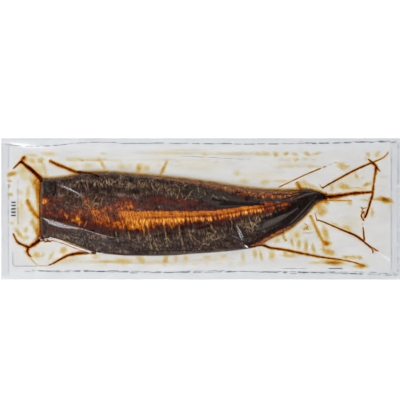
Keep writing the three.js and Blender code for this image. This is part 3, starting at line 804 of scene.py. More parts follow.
# Each vein: its points in mm, then width in mm and depth of colour at its start and its end.
VEINS = [
    # From the corners of the head end.
    ([(-158, 27), (-162, 31), (-166, 35.4), (-173, 41.6), (-180, 47.4)], 3.4, 2.6, 2.6, 3.0),
    ([(-180, 47.4), (-184.5, 43.3), (-188, 39.8)], 2.8, 1.0, 2.6, 1.2),
    ([(-172, 43), (-167, 37.9), (-160, 31.9), (-157.6, 28.4)], 1.2, 2.0, 1.4, 2.2),
    ([(-180, 47.4), (-176, 52.6)], 2.6, 3.2, 1.8, 0.8),
    ([(-187.8, -24.4), (-185.7, -29.1), (-183.5, -33.1), (-178, -36.1), (-172, -38.6)], 1.4, 2.6, 1.2, 2.6),
    ([(-172, -38.6), (-169, -36.6), (-163.5, -32.8), (-159.6, -26.6)], 3.0, 3.4, 2.8, 1.6),
    ([(-166, -34.4), (-160.6, -31.4), (-156.6, -30.4)], 1.2, 2.6, 1.8, 2.6),
    ([(-172, -38.6), (-173.8, -42.1), (-172, -46.1), (-169, -48.4)], 3.0, 1.4, 2.6, 1.2),
    ([(-174.2, 9.4), (-172, 4.4), (-169, -1.1), (-165.4, -6.1), (-160.6, -10)], 4.0, 4.4, 0.55, 0.75),
    # Along the cut end itself.
    ([(-160.4, 29), (-160.6, 12), (-160.4, -8), (-160.8, -28)], 1.5, 1.7, 1.9, 2.2),
    ([(-161.6, 29.6), (-163.4, 16), (-162.6, 2), (-162, -10)], 5.0, 3.4, 0.26, 0.3),
    ([(-162, -10), (-163, -20), (-162.4, -29)], 2.6, 4.4, 0.3, 0.45),
    # Painted shadow: thin dark lines beside the white crease under the head end, and glaze tangled at its
    # start.
    ([(-152, -28.6), (-138, -31.8), (-126, -36.4), (-108, -42.6)], 0.8, 0.8, 1.8, 2.2),
    ([(-150, -31.2), (-138, -34.6), (-124, -40.0), (-106, -45.2)], 0.7, 0.7, 1.4, 1.8),
    ([(-106, -45.2), (-103, -43.0), (-98, -44.4)], 0.7, 0.7, 1.2, 1.0),
    ([(-161, -27), (-158.4, -30), (-160, -33)], 1.0, 0.8, 1.8, 1.4),
    ([(-163, -29), (-160, -32), (-156, -31)], 0.8, 1.2, 1.4, 2.4),
    ([(-158, -28), (-156, -33), (-152, -32)], 1.0, 1.2, 2.0, 2.6),
    ([(-161.6, -31), (-166, -33)], 0.9, 0.8, 1.6, 1.2),
    ([(-154, -30.4), (-151, -32.6), (-149, -30.6)], 1.4, 1.0, 3.0, 2.4),
    # Where the fillet widens behind the head.
    ([(-152, 48.4), (-144, 44.4), (-135, 40.9), (-125.5, 36.9)], 2.8, 2.6, 1.0, 2.2),
    ([(-125.5, 36.9), (-117, 35.9), (-109, 34.3), (-101, 32)], 2.8, 2.2, 2.2, 3.4),
    ([(-152.4, -56.4), (-147, -54.1), (-141, -50.6), (-131.6, -46.1), (-119, -44.1)], 1.2, 3.2, 1.6, 2.8),
    ([(-119, -44.1), (-112, -43.6), (-104, -43.6)], 3.2, 1.8, 2.8, 3.4),
    # On from the tail tip.
    ([(122, 12.2), (130, 12.2), (140, 13.4), (150, 15.2), (162, 16.2), (171, 16.9)], 3.8, 2.3, 2.6, 1.8),
    ([(121, 8.6), (136, 8.6), (151, 8.4)], 1.2, 0.8, 0.8, 0.4),
    # The long one slanting away from the tail, with the bar at its start.
    ([(121.4, 20.9), (140, 31.4), (155.5, 39.6), (171, 46.3)], 1.4, 1.7, 2.0, 2.2),
    ([(171, 46.3), (181, 50.6), (185, 53.6), (187.4, 57)], 1.5, 1.2, 1.2, 0.6),
    ([(118.6, 24.9), (120.4, 22), (122.7, 19.6)], 0.7, 0.9, 0.8, 1.0),
    # The thin one beside it.
    ([(78, 21.8), (91, 27.9), (106, 34.9), (120, 40.6)], 1.0, 1.0, 1.0, 1.6),
    ([(122, 41.4), (125, 42.6)], 0.8, 0.8, 1.6, 1.2),
    ([(128, 43.8), (131, 45)], 0.6, 0.6, 1.0, 0.8),
    ([(133, 45.8), (136, 46.9)], 0.6, 0.5, 0.8, 0.5),
    # The crooked one across the far end.
    ([(171, 46.3), (175, 41.9), (174.6, 36.9), (173.4, 30.9), (172.7, 25.3)], 2.6, 2.0, 2.2, 1.1),
    ([(172.7, 25.3), (172, 18.9), (171.5, 14.3), (169.6, 8.2)], 2.0, 2.2, 1.1, 2.2),
    ([(169.6, 8.2), (166.6, -2.1), (164, -9.4)], 1.8, 1.5, 2.6, 2.2),
    ([(175, 41.9), (179.2, 37.2)], 2.0, 0.8, 2.4, 1.0),
    ([(164, 51.6), (165.2, 48.2)], 0.6, 0.5, 0.9, 0.6),
    ([(166.6, 50.2), (171.5, 46.4)], 0.8, 1.8, 1.6, 2.6),
    ([(159.7, -2.1), (162, -3.9), (164.3, -2.3)], 0.9, 0.9, 1.2, 1.2),
    ([(162, -3.9), (160.2, -6.2), (161.2, -9.4), (163.2, -12.1)], 1.4, 1.2, 1.6, 2.0),
    ([(161.2, -14.6), (161.4, -16.2)], 0.9, 0.7, 1.4, 1.2),
    ([(162, -18.1), (162.7, -25.1), (163.3, -32)], 1.0, 1.5, 1.6, 2.2),
    # From the lower edge of the tail.
    ([(116.5, -10.9), (124.7, -14), (140, -20.6), (155.3, -27.1), (163, -32.9)], 1.1, 2.0, 1.6, 2.4),
    ([(114, -3.8), (115, -8), (116.4, -13)], 0.6, 1.0, 0.7, 1.2),
    ([(163, -32.9), (166.6, -36.4), (170.4, -39.5), (172, -42.1), (171.5, -44.8)], 1.6, 0.8, 2.0, 1.2),
    ([(167.4, -35), (168.6, -38.2), (171.4, -38.6)], 0.7, 0.6, 1.4, 1.8),
    ([(173, -38.8), (174.4, -41.6), (177.6, -41)], 0.8, 0.7, 1.6, 2.0),
    ([(170.6, -41.4), (173.6, -43.4)], 0.7, 0.6, 1.8, 1.4),
    ([(159.4, 2.2), (162.6, 0.4), (165.6, 1.6)], 0.9, 0.8, 1.0, 1.4),
    ([(160.6, 0.6), (163.4, -6.4), (162.2, -12)], 0.9, 0.8, 1.0, 1.6),
    ([(166.4, -0.4), (164.4, -6.8)], 0.8, 0.7, 1.6, 1.4),
    ([(165, -33.6), (169, -37.2), (174.6, -40.6), (177.4, -42.8)], 0.8, 0.9, 1.2, 1.4),
    ([(109, -6.2), (114.5, -18.1), (120.5, -30.1), (127, -36.6)], 2.6, 3.6, 0.5, 0.42),
    ([(82, -23), (82.7, -29.1), (85.9, -32.1)], 2.4, 2.2, 0.36, 0.28),
    ([(95.4, 27), (98, 22.6), (101, 18.6)], 4.0, 3.4, 0.6, 1.1),
    ([(102.6, -14.6), (105.4, -15.6), (106.6, -18), (104, -19.4)], 0.9, 0.8, 0.5, 0.6),
    ([(101.4, -20.8), (105, -20), (108.4, -21)], 0.8, 0.8, 0.6, 0.4),
    ([(104.6, -23.4), (107.8, -24.2)], 0.8, 0.7, 0.5, 0.4),
    # Faint ones at the corners of the head end.
    ([(-177, -42), (-170, -50), (-162, -56.6), (-152.4, -57)], 1.6, 1.2, 0.24, 0.14),
    ([(-160.6, 33), (-165, 29), (-167.6, 24)], 1.6, 1.0, 0.5, 0.3),
    # The long one from the lower flank to the far corner.
    ([(46, -38.1), (60, -36.1), (69, -39.1)], 1.6, 2.2, 3.0, 2.4),
    ([(69, -39.1), (81, -40.5), (96, -43.5), (119, -48.1)], 2.2, 2.1, 1.9, 1.6),
    ([(119, -48.1), (145, -51.7), (154, -53.8), (164, -57.3)], 2.0, 1.2, 1.6, 0.9),
]
PATH_STEP = 0.7 * MM
STRAND_CLEARANCE = 0.04 * MM  # between a strand and the ply under it
UNEVENNESS = 0.16  # of a strand's width, and of its depth of colour, as shares
BRAIDING = 0.3
BLUNT_END = 0.12  # width at a strand's two ends, as a share, and the steps over which it grows
END_STEPS = 2.5
VEIN_FLATNESS = 0.24  # thickness of a vein, as a share of its width
VEIN_SIDES = 16


def smooth_path(points, step):
    """Places along a curve through points in mm, a step apart, with their shares of its length."""
    points = np.array(points, float) * MM
    spans = np.concatenate([[0], np.cumsum(np.hypot(*np.diff(points, axis=0).T))])
    places = np.linspace(0, spans[-1], max(int(spans[-1] / step), 4))
    bends = [curve_through(*np.stack([spans, points[:, k]], 1) / MM)(places) for k in (0, 1)]
    return np.stack(bends, 1), places / spans[-1]


def between_plies(x, y, half_height):
    """Halfway between the plies, but high enough for a strand to clear the lower one."""
    lowest = flange_height(x, y) + half_height + STRAND_CLEARANCE
    return np.maximum(film_height(x, y) - PLY_GAP / 2, lowest)


def path_mesh(name, lines, flatness, height_at):
    """Vertices and edges down the middle of every line, with its half width and depth of colour."""
    places, edges, half_widths, depths = [], [], [], []
    for number, (points, width_a, width_b, depth_a, depth_b) in enumerate(lines):
        path, share = smooth_path(points, PATH_STEP)
        x, y = path.T
        uneven = 1 + UNEVENNESS * speckle(x, y, 2.2, 2.2, 40 + number)
        to_end = np.minimum(share, 1 - share) * len(share) / END_STEPS
        taper = np.sqrt(np.clip(to_end, BLUNT_END, 1))
        half_width = (width_a + (width_b - width_a) * share) * uneven * taper * MM / 2
        braid = 1 + BRAIDING * speckle(x, y, 1.7, 1.7, 90 + number)
        start = len(places)
        places += np.column_stack([x, y, height_at(x, y, half_width * flatness)]).tolist()
        edges += [(start + i, start + i + 1) for i in range(len(path) - 1)]
        half_widths += half_width.tolist()
        depths += ((depth_a + (depth_b - depth_a) * share) * braid).tolist()
    return new_mesh(name, places, [], edges, half_width=half_widths, depth=depths)


class Growth(Wiring):
    """A Geometry Nodes tree being put together, and what it grows from a mesh."""

    def __init__(self, name, **sizes):
        super().__init__(bpy.data.node_groups.new(name, "GeometryNodeTree"))
        self.socket("Geometry", "INPUT", "Geometry")
        self.sizes = sizes
        for key, value in sizes.items():
            self.socket(key, "INPUT", {int: "Int", float: "Float"}.get(type(value), "Material"))
        self.socket("Geometry", "OUTPUT", "Geometry")
        self.given = self.node("NodeGroupInput").outputs

    def named(self, name):
        """A value that the mesh holds at every vertex."""
        kind = {"data_type": "FLOAT"}
        return self.node("GeometryNodeInputNamedAttribute", kind, Name=name).outputs[0]

    def keep(self, geometry, name, value):
        """The geometry with a value kept at every point under a name."""
        kind = {"data_type": "FLOAT", "domain": "POINT"}
        return self.node("GeometryNodeStoreNamedAttribute", kind, Geometry=geometry, Name=name,
                         Value=value).outputs[0]

    def vector(self, **parts):
        return self.node("ShaderNodeCombineXYZ", None, **parts).outputs[0]

    def grow(self, mesh, name):
        """Runs the tree on a mesh and gives what it makes as a plain mesh."""
        carrier = bpy.data.objects.new(name, mesh)
        bpy.context.scene.collection.objects.link(carrier)
        modifier = carrier.modifiers.new(name, "NODES")
        modifier.node_group = self.tree
        for item in self.tree.interface.items_tree:
            if item.in_out == "INPUT" and item.name in self.sizes:
                modifier[item.identifier] = self.sizes[item.name]
        bpy.context.view_layer.update()
        evaluated = carrier.evaluated_get(bpy.context.evaluated_depsgraph_get())
        grown = bpy.data.meshes.new_from_object(evaluated)
        grown.name = name
        bpy.data.objects.remove(carrier)
        return grown

    def finish(self, geometry, material):
        """The end of every tree: instances made real, and the material set."""
        real = self.node("GeometryNodeRealizeInstances", None, Geometry=geometry).outputs[0]
        painted = self.node("GeometryNodeSetMaterial", None, Geometry=real, Material=material)
        self.node("NodeGroupOutput", None, Geometry=painted.outputs[0])


GLAZE_TINT = (0.905, 0.68, 0.27, 1.0)  # shares of red, green and blue light that a depth of 1 passes


def glaze_material():
    """Clear dark glaze: the deeper it is, the less light of each colour it lets through."""
    glaze = Recipe("soy_glaze")
    mottle = glaze.spread(glaze.grain(1.3, 1.3), 0.0, 1.0, 0.3, 1.7)
    depth = glaze.times(glaze.mask("depth"), mottle)
    ripple = glaze.bump(glaze.grain(1.2, 1.2), 0.2, 0.2)
    body = glaze.body(Base_Color=colour(44, 15, 7), Roughness=0.25, Normal=ripple, Specular_IOR_Level=0.3)
    thick = glaze.spread(depth, 1.2, 5.0, 0.0, 0.6)
    return glaze.finish_clear(glaze.fading(GLAZE_TINT, depth), thick, body)


soy_glaze = glaze_material()


def grow_strands(name, lines, sides, flatness, core, fringe, material, height_at=between_plies):
    """Each path is swept with a flat oval, whose own thickness thins the colour at its two sides."""
    tree = Growth(name, Sides=sides, Flatness=flatness, Core=core, Fringe=fringe, Material=material)
    given = tree.given
    path = tree.node("GeometryNodeMeshToCurve", None, Mesh=given["Geometry"]).outputs[0]
    level = tree.node("GeometryNodeSetCurveNormal", {"mode": "Z_UP"}, Curve=path).outputs[0]
    ring = tree.node("GeometryNodeCurvePrimitiveCircle", None, Resolution=given["Sides"], Radius=1.0)
    place = tree.node("GeometryNodeInputPosition").outputs[0]
    spot = tree.node("ShaderNodeSeparateXYZ", None, Vector=place)
    middle = tree.maths("ABSOLUTE", spot.outputs["Y"])
    dark = tree.maths("POWER", middle, given["Core"])
    fringe = tree.times(tree.maths("POWER", middle, 1.5), given["Fringe"])
    ring = tree.keep(ring.outputs[0], "thick", tree.maths("MAXIMUM", dark, fringe))
    flat = tree.vector(X=spot.outputs["X"], Y=tree.times(spot.outputs["Y"], given["Flatness"]))
    oval = tree.node("GeometryNodeSetPosition", None, Geometry=ring, Position=flat).outputs[0]
    swept = tree.node("GeometryNodeCurveToMesh", None, Curve=level, Profile_Curve=oval,
                      Scale=tree.named("half_width"), Fill_Caps=True).outputs[0]
    depth = tree.times(tree.named("depth"), tree.named("thick"))
    tree.finish(tree.keep(swept, "depth", depth), given["Material"])
    return add_piece(tree.grow(path_mesh(name + "_paths", lines, flatness, height_at), name))


VEIN_SKIRT = 2.3  # width of a vein with its see-through edges, as a multiple of its dark core
VEIN_THINNING = 0.82  # width of that core, as a share of the width in the list
VEIN_DEPTH = 1.8  # depth of colour in the middle of a vein
VEIN_CORE = 11.0  # power by which the colour fades from the middle of a vein to its edges
VEIN_FRINGE = 0.16  # depth of the amber fringe, as a share of the middle's
vein_lines = []
for points, *widths, depth_a, depth_b in VEINS:
    widths = [width * VEIN_THINNING * VEIN_SKIRT for width in widths]
    vein_lines.append((points, *widths, depth_a * VEIN_DEPTH, depth_b * VEIN_DEPTH))
veins = grow_strands("glaze_veins", vein_lines, VEIN_SIDES, VEIN_FLATNESS / VEIN_SKIRT, VEIN_CORE,
                     VEIN_FRINGE, soy_glaze)
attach(veins, "root")

# ---------------------------------------------------------------------------------------------
# Glaze round the fillet. A thin bead of it fills the narrow tent that the film makes beside the
# flesh, and shows as an amber outline.
# ---------------------------------------------------------------------------------------------
OUTLINE_STEP = 0.9 * MM
OUTLINE_ROWS = 6
OUTLINE_BEFORE = 1 * MM  # how far it runs on past the cut end and past the tail
OUTLINE_BEYOND = 3 * MM
OUTLINE_HEIGHT = 3.2 * MM  # of the glaze against the flesh, and at its outer limit
OUTLINE_FOOT = 0.3 * MM
OUTLINE_TUCK = 0.4 * MM  # how far it reaches in under the flesh
UNDER_FILM = 0.12 * MM
OVER_FLANGE = 0.1 * MM
OUTLINE_FADE = 1.9  # power by which its colour fades on the way out
OUTLINE_WANDER = 0.35  # unevenness of its reach in mm, and of its colour as a share
OUTLINE_MOTTLE = 0.3


def build_outline():
    """A flat strip out from the fillet's edge along both sides, deepest at the flesh."""
    x = np.arange(HEAD_END - OUTLINE_BEFORE, TAIL_TIP + OUTLINE_BEYOND, OUTLINE_STEP)
    tail = onset(x / MM, 40, 50)
    sides = (  # which way it runs, the flank's width, then its reach in mm and its depth of colour
        (1, upper_flank(x, UPPER_TIP), 3.8, 2.4),
        (-1, lower_flank(x, LOWER_TIP), 1.0 + 3.8 * tail, 0.7 + 1.9 * tail),
    )
    places, faces, depths = [], [], []
    for side, flank, reach, full in sides:
        edge = belly_line(x) + side * flank
        reach = (reach + OUTLINE_WANDER * speckle(x, edge, 9, 9, 30 + side)) * MM
        full = full * (1 + OUTLINE_MOTTLE * speckle(x, edge, 5, 5, 33 + side))
        start = len(places)
        for k in range(OUTLINE_ROWS + 1):
            share = k / OUTLINE_ROWS
            y = edge + side * (reach * share - OUTLINE_TUCK * (1 - share))
            height = np.minimum(film_height(x, y) - UNDER_FILM, OUTLINE_HEIGHT * (1 - share) + OUTLINE_FOOT)
            height = np.maximum(height, flange_height(x, y) + OVER_FLANGE)
            places += np.column_stack([x, y, height]).tolist()
            depths += (full * 2 * (1 - share) ** OUTLINE_FADE).tolist()
        faces += grid_faces(np.arange(start, len(places)).reshape(-1, len(x)))
    return add_piece(new_mesh("glaze_outline", places, faces, depth=depths))


outline = build_outline()
outline.data.materials.append(soy_glaze)
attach(outline, "root")

# ---------------------------------------------------------------------------------------------
# Smears of glaze. When the pouch was pumped out, drops of glaze were pressed flat between the
# plies. They are thin enough to be yellow, and fade out towards their rims.
# ---------------------------------------------------------------------------------------------
# Each smear: x, y, half length, half width in mm, turn in degrees and depth of colour.
SMEARS = [
    # Beside the cut end.
    (-189, 34.9, 4.6, 2.0, 8, 1.0), (-169, 47.9, 3.0, 2.2, 0, 0.55), (-160.4, 48.4, 3.2, 2.4, 0, 0.55),
    (-156.6, 40, 2.0, 6.5, 20, 0.32), (-191.4, 27.9, 2.0, 1.2, 0, 0.5), (-191.4, 22.9, 1.6, 1.2, 0, 0.4),
    (-190.5, 14.4, 2.2, 1.4, 10, 0.6), (-181, 16.9, 2.6, 2.2, 0, 0.18), (-179.6, 2.9, 2.2, 4.2, 0, 0.2),
    (-173, 15.9, 2.2, 7, 0, 0.3), (-189.5, -14.1, 1.8, 1.5, 0, 0.4), (-181.8, -25.1, 5.6, 1.7, -57, 0.55),
    (-175, -21.1, 1.7, 2.8, 0, 0.45), (-168.5, -13.1, 2.4, 2.8, 20, 0.55), (-165, -21, 2.2, 5.4, 18, 0.8),
    (-164.3, -46.1, 3.0, 3.2, 0, 0.5), (-158, -46.1, 1.5, 2.0, 0, 0.35),
    (-149.5, -46.6, 2.0, 3.6, -25, 0.35), (-137.7, -41.5, 2.6, 3.4, -15, 0.6),
    (-165.0, 24, 3.0, 7.4, 28, 1.2), (-163.2, 15, 1.8, 8, 8, 0.8), (-169.6, 28, 2.0, 4.5, 20, 0.4),
    (-161.6, 7.6, 2.4, 1.6, 0, 0.9), (-176, 50, 3.0, 2.6, 40, 0.6), (-175, -29, 2.2, 2.6, 0, 0.3),
    (-160.5, -27.5, 2.2, 4.0, 20, 1.0), (-158, -31.4, 3.0, 1.6, -30, 0.9),
    (-164.4, -30, 1.6, 3.0, -40, 0.7),
    # Along the upper margin.
    (-98.5, 44.9, 1.7, 5.6, 25, 0.42), (-113, 42.9, 4.5, 2.2, 0, 0.2), (-79, 42.3, 3.4, 3.2, 0, 0.25),
    (-61.8, 40.9, 2.4, 4.2, -25, 0.75), (-54.6, 41, 2.4, 3.0, 25, 0.4), (-37.4, 40.6, 1.9, 6.2, -28, 0.8),
    (-127, 43, 3.0, 2.2, 0, 0.15), (36, 35.9, 3.0, 2.8, 0, 0.2), (43, 27.9, 5.0, 2.0, -8, 0.28),
    (64, 26.9, 4.2, 2.4, -6, 0.32), (95, 49.3, 2.2, 1.8, 0, 0.35), (103, 25.9, 2.6, 3.4, 30, 0.42),
    (110, 23.3, 5.0, 1.4, -14, 0.4), (131, 20.9, 1.8, 3.4, -18, 0.5), (141, 42.9, 4.6, 2.8, -8, 0.45),
    (143, 22.3, 5.8, 2.8, -4, 0.75), (155.4, 33, 1.4, 4.2, 22, 0.5), (158, 20.6, 5.2, 1.3, -4, 0.4),
    (166, 24.6, 4.2, 1.7, 32, 0.6), (167, 54.4, 2.4, 1.8, 0, 0.4), (176.4, 54.8, 1.8, 3.2, -25, 0.4),
    (161.6, 31.2, 1.2, 1.2, 0, 0.3), (183, 32, 4, 1.2, 0, 0.12),
    # Beyond the tail.
    (184, 9, 5.8, 2.4, -6, 1.7), (124.6, 6.6, 3.2, 2.0, -10, 0.8), (137, 8.0, 9, 1.0, 0, 0.4),
    (148.6, 6.4, 2.2, 2.8, 0, 0.4), (165, 8.9, 4.0, 1.2, 0, 0.45), (171, -3.7, 2.2, 3.2, 0, 0.4),
    (120.6, -2.7, 4.8, 3.6, -12, 0.62), (124.6, -24, 2.4, 6.2, 10, 0.6),
    (125.6, -34.4, 3.6, 2.8, -30, 1.0), (127.6, -43, 5.0, 3.0, -20, 0.75),
    (134, -15.4, 4.4, 1.2, -25, 0.35), (146.4, -19.1, 4.6, 1.8, -28, 0.5), (122.6, -39, 1.6, 4.4, 0, 0.45),
    (76, -32, 2.6, 2.2, 0, 0.35), (91, -33.4, 1.7, 3.8, 8, 0.45), (96, -27.1, 2.8, 4.6, 10, 0.3),
    (98, -35.4, 1.8, 4.2, -6, 0.5), (105, -37.4, 1.9, 5.0, 4, 0.6), (112.5, -39.9, 1.7, 4.4, 6, 0.5),
    (132, -53.8, 8.6, 2.2, -2, 1.1), (160, -57.1, 6.0, 2.0, -6, 0.95), (88.6, -46.9, 5.6, 1.6, 0, 0.5),
    (84.4, -44.4, 1.8, 2.4, 0, 0.4), (92.4, -45, 1.8, 2.4, 0, 0.4),
    # Along the lower margin.
    (-105, -47.6, 2.8, 2.2, 0, 0.35), (-95, -53.1, 5.0, 2.0, 0, 0.3), (-78, -52.7, 9.0, 2.3, -4, 0.5),
    (-60, -50.7, 4.2, 3.0, -30, 0.4), (-35.5, -51.2, 2.6, 4.2, -18, 0.5), (-25, -49.7, 1.8, 3.4, 12, 0.35),
    (-15, -49.7, 1.8, 3.8, 8, 0.4), (6, -48.1, 3.0, 1.8, 0, 0.3), (22.5, -47.6, 3.6, 1.7, 16, 0.3),
    (42, -48.7, 2.0, 3.6, 8, 0.3), (54, -44.9, 2.0, 3.4, -6, 0.45), (60, -46.4, 1.8, 3.6, 10, 0.45),
    (71, -46.6, 3.4, 3.2, 0, 0.4),
    # Broad, faint ones.
    (-169, 53.5, 5, 1.6, 0, 0.25), (-152, 55, 6.5, 1.6, 0, 0.3), (-178, 38.5, 4, 4, 0, 0.35),
    (-176, 31, 3, 3, 0, 0.2), (-98, 55.4, 3, 1, 0, 0.25), (-104.5, 48.8, 5, 1, 0, 0.45),
    (-118, 48.6, 5.5, 0.9, 0, 0.35), (-130, 48.6, 3, 0.8, 0, 0.25), (-86, 48.6, 4, 0.8, 0, 0.25),
    (-26, 56, 24, 1.8, 0, 0.16), (3, 54.6, 4, 1, 0, 0.4), (30, 55, 22, 1.4, 0, 0.14),
    (60.7, 54.2, 5, 1, 0, 0.3), (87, 43, 10, 2, 0, 0.16), (110, 42.4, 5, 1.6, 0, 0.3),
    (80, 28, 6, 1.6, 0, 0.3), (118, 3, 4, 3.6, 40, 0.5), (-164, 36, 5, 8, 30, 0.3),
    (105, -19, 4, 2.6, 0, 0.35), (95, -26, 5, 3, 0, 0.22), (132, -53.8, 9, 1.2, 0, 0.9),
    (115, -54, 7, 1.2, 0, 0.3), (-100, -53, 22, 1.4, 0, 0.2), (-50, -53.4, 24, 1.3, 0, 0.2),
    (10, -51, 20, 1.2, 3, 0.12), (176, 9.4, 6, 1.2, 0, 0.5), (188, 4, 1.2, 4, 0, 0.2),
    (146, 42, 3, 1.2, 0, 0.4), (-30, 49, 30, 0.7, 0, 0.12), (-18, 59, 22, 0.6, 0, 0.1),
    (-132, -52, 12, 2, 10, 0.16), (148, 30, 10, 5, 20, 0.08), (150, -14, 12, 6, 0, 0.06),
    (-181, -6, 5, 12, 0, 0.1), (60, 33, 14, 4, 0, 0.07), (0, 42, 24, 4, -3, 0.06),
]
# Rows of faint dabs, left by ribs on the packing table: first x, last x, y, how many and depth.
DAB_ROWS = [
    (-132, -96, 49.3, 7, 0.18), (56, 66, 55.0, 2, 0.3), (74, 116, 54.8, 5, 0.4), (20, 50, 55.4, 4, 0.14),
    (-70, -22, 43.6, 6, 0.1), (-44, 26, 47.2, 8, 0.08), (80, 118, 42.4, 5, 0.12),
    (-145, -120, -52, 4, 0.12), (-52, 40, -55, 9, 0.1), (146, 159, -48.3, 4, 0.5),
    (80, 112, 49.2, 5, 0.12), (82, 118, -23, 5, 0.14),
]
SMEAR_RINGS = 5
SMEAR_SIDES = 22
SMEAR_SPREAD = 1.7  # how far the faint rim of a smear reaches, in half widths
SMEAR_STRENGTH = 1.48
SMEAR_WAVES = [(2, 0.16), (5, 0.1)]  # in a smear's outline: how many, and their height as a share
SMEAR_MARGIN = 1 * MM  # from the pouch's edge
SMEAR_LIFT = 0.45  # place between the plies, as a share of the gap
SMEAR_DEPTH = 0.2 * MM  # and in the tent, how far under the film
DAB_LENGTH = 3.0  # half lengths and half widths in mm
DAB_WIDTH = 1.5


def dabs(chance):
    """The smears of every row of dabs."""
    for first, last, y, count, depth in DAB_ROWS:
        for x in np.linspace(first, last, count):
            longer, wider = chance.uniform(0.7, 1.3, 2)
            at_x, at_y = x + chance.uniform(-1, 1), y + chance.uniform(-0.5, 0.5)
            turn = chance.uniform(-12, 12)
            strength = depth * chance.uniform(0.6, 1.4)
            yield at_x, at_y, DAB_LENGTH * longer, DAB_WIDTH * wider, turn, strength


def build_smears():
    """Thin discs between the plies, wavy in outline, whose colour fades out at the rim."""
    chance = np.random.default_rng(61)
    smears = SMEARS + list(dabs(chance))
    places, faces, depths = [], [], []
    angles = np.linspace(0, 2 * math.pi, SMEAR_SIDES, endpoint=False)
    for at_x, at_y, half_x, half_y, turn, depth in smears:
        wave = 1
        for number, height in SMEAR_WAVES:
            wave = wave + height * np.sin(number * angles + chance.uniform(0, 6))
        c, s = math.cos(math.radians(turn)), math.sin(math.radians(turn))
        start = len(places)
        for ring in range(SMEAR_RINGS + 1):
            share = ring / SMEAR_RINGS
            along = half_x * share * SMEAR_SPREAD * wave * np.cos(angles)
            over = half_y * share * SMEAR_SPREAD * wave * np.sin(angles)
            x, y = (at_x + along * c - over * s) * MM, (at_y + along * s + over * c) * MM
            y = np.clip(y, SMEAR_MARGIN - POUCH_WIDTH / 2, POUCH_WIDTH / 2 - SMEAR_MARGIN)
            lowest = flange_height(x, y) + PLY_GAP * SMEAR_LIFT
            height = np.maximum(lowest, film_height(x, y) - SMEAR_DEPTH)
            count = 1 if ring == 0 else SMEAR_SIDES
            places += np.column_stack([x, y, height])[:count].tolist()
            depths += [SMEAR_STRENGTH * depth * (1 - smooth(share))] * count
        nexts = [(i + 1) % SMEAR_SIDES for i in range(SMEAR_SIDES)]
        faces += [[start, start + 1 + i, start + 1 + j] for i, j in enumerate(nexts)]
        for ring in range(SMEAR_RINGS - 1):
            inner = start + 1 + ring * SMEAR_SIDES
            outer = inner + SMEAR_SIDES
            faces += [[inner + i, outer + i, outer + j, inner + j] for i, j in enumerate(nexts)]
    return add_piece(new_mesh("glaze_smears", places, faces, depth=depths))


smears = build_smears()
smears.data.materials.append(soy_glaze)
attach(smears, "root")

# ---------------------------------------------------------------------------------------------
# The pouch. Two plies of clear film, about a tenth of a millimetre each, welded along all four
# edges. Vacuum draws the upper ply over the fillet, and pulls it into small folds.
# ---------------------------------------------------------------------------------------------
FILM_STEP = 1.0 * MM
FILM_LIFT = 0.12 * MM
LOWER_STEPS = 4  # how many times coarser the lower ply is
LOWEST_FILM = 0.02 * MM
WELD_WIDTH = 9 * MM  # of the welded edges, and the width over which the loose film starts
WELD_FADE = 6 * MM
COCKLE_HEIGHT = 0.05 * MM
CRINKLE_HEIGHT = 0.02 * MM
OVER_VEINS = 0.04 * MM  # how far the film stays above the glaze veins
VEIN_BERTH = 1.25  # width of the film's rise over a vein, in widths of the vein
FOLD_HOLLOW = 0.25  # how hollow the two slopes of a fold are, as a share
RELIEF_MARGIN = 3 * MM  # from the pouch's edge, where the relief starts
# Folds standing up in the upper ply, each along its crest: x, y and height at its points, then
# how far it reaches to the left and to the right of its crest, all in mm.
FOLDS = [
    ([(-149, 28.0, 1.2), (-143.4, 26.4, 2.1), (-129.4, 22.0, 1.9), (-117.2, 15.8, 1.2),
      (-111, 12, 0)], 1.5, 4.3),
    ([(32.5, -9, 1.1), (38.6, -22, 1.45), (45.6, -35, 1.7)], 1.8, 3.4),
    ([(-149, -31.0, 0.5), (-128, -36.6, 0.5), (-104, -44.0, 0.5)], 1.0, 1.6),
    ([(123.7, 8, 0.2), (123.9, -20, 0.3), (123.7, -54, 0.3)], 0.9, 0.9),
    ([(-198, 68.8, 0.6), (-190, 67.8, 1.2), (-170, 65.2, 1.5), (-141, 62.6, 1.6), (-120, 63, 1.4),
      (-96, 65, 1.0)], 1.8, 5.6),
    ([(176.9, -42.8, 0.25), (184, -48, 0.25), (192, -54.2, 0.2)], 1.0, 1.1),
    ([(184.7, -54.2, 0.2), (192, -45, 0.2), (198, -37, 0.1)], 1.0, 1.0),
    ([(60, -20, 0.5), (76, -17, 0.7), (90, -8, 0.7), (100, 4, 0.4)], 2.4, 2.4),
    ([(92, 12, 0.4), (104, 14, 0.6), (118, 14, 0.3)], 2.0, 2.0),
]


def fold_shape(x, y, points, to_left, to_right):
    """A rounded ridge along the points, with its own reach on either side."""
    best = np.full(np.shape(x), NOWHERE)
    rise = height = np.zeros(np.shape(x))
    for (ax, ay, start), (bx, by, end) in zip(points, points[1:]):
        dx, dy = bx - ax, by - ay
        from_x, from_y = x / MM - ax, y / MM - ay
        share = np.clip((from_x * dx + from_y * dy) / (dx * dx + dy * dy), 0, 1)
        away = np.hypot(from_x - share * dx, from_y - share * dy)
        reach = np.where(dx * from_y - dy * from_x > 0, to_left, to_right)
        near = away < best
        rise = np.where(near, np.clip(1 - away / reach, 0, 1), rise)
        height = np.where(near, start + (end - start) * share, height)
        best = np.where(near, away, best)
    return height * MM * ((1 - FOLD_HOLLOW) * rise + FOLD_HOLLOW * rise**2)


def from_rim(x, y):
    """How far in from the pouch's edge a place is."""
    return np.minimum(POUCH_WIDTH / 2 - np.abs(y), POUCH_LENGTH / 2 - np.abs(x))


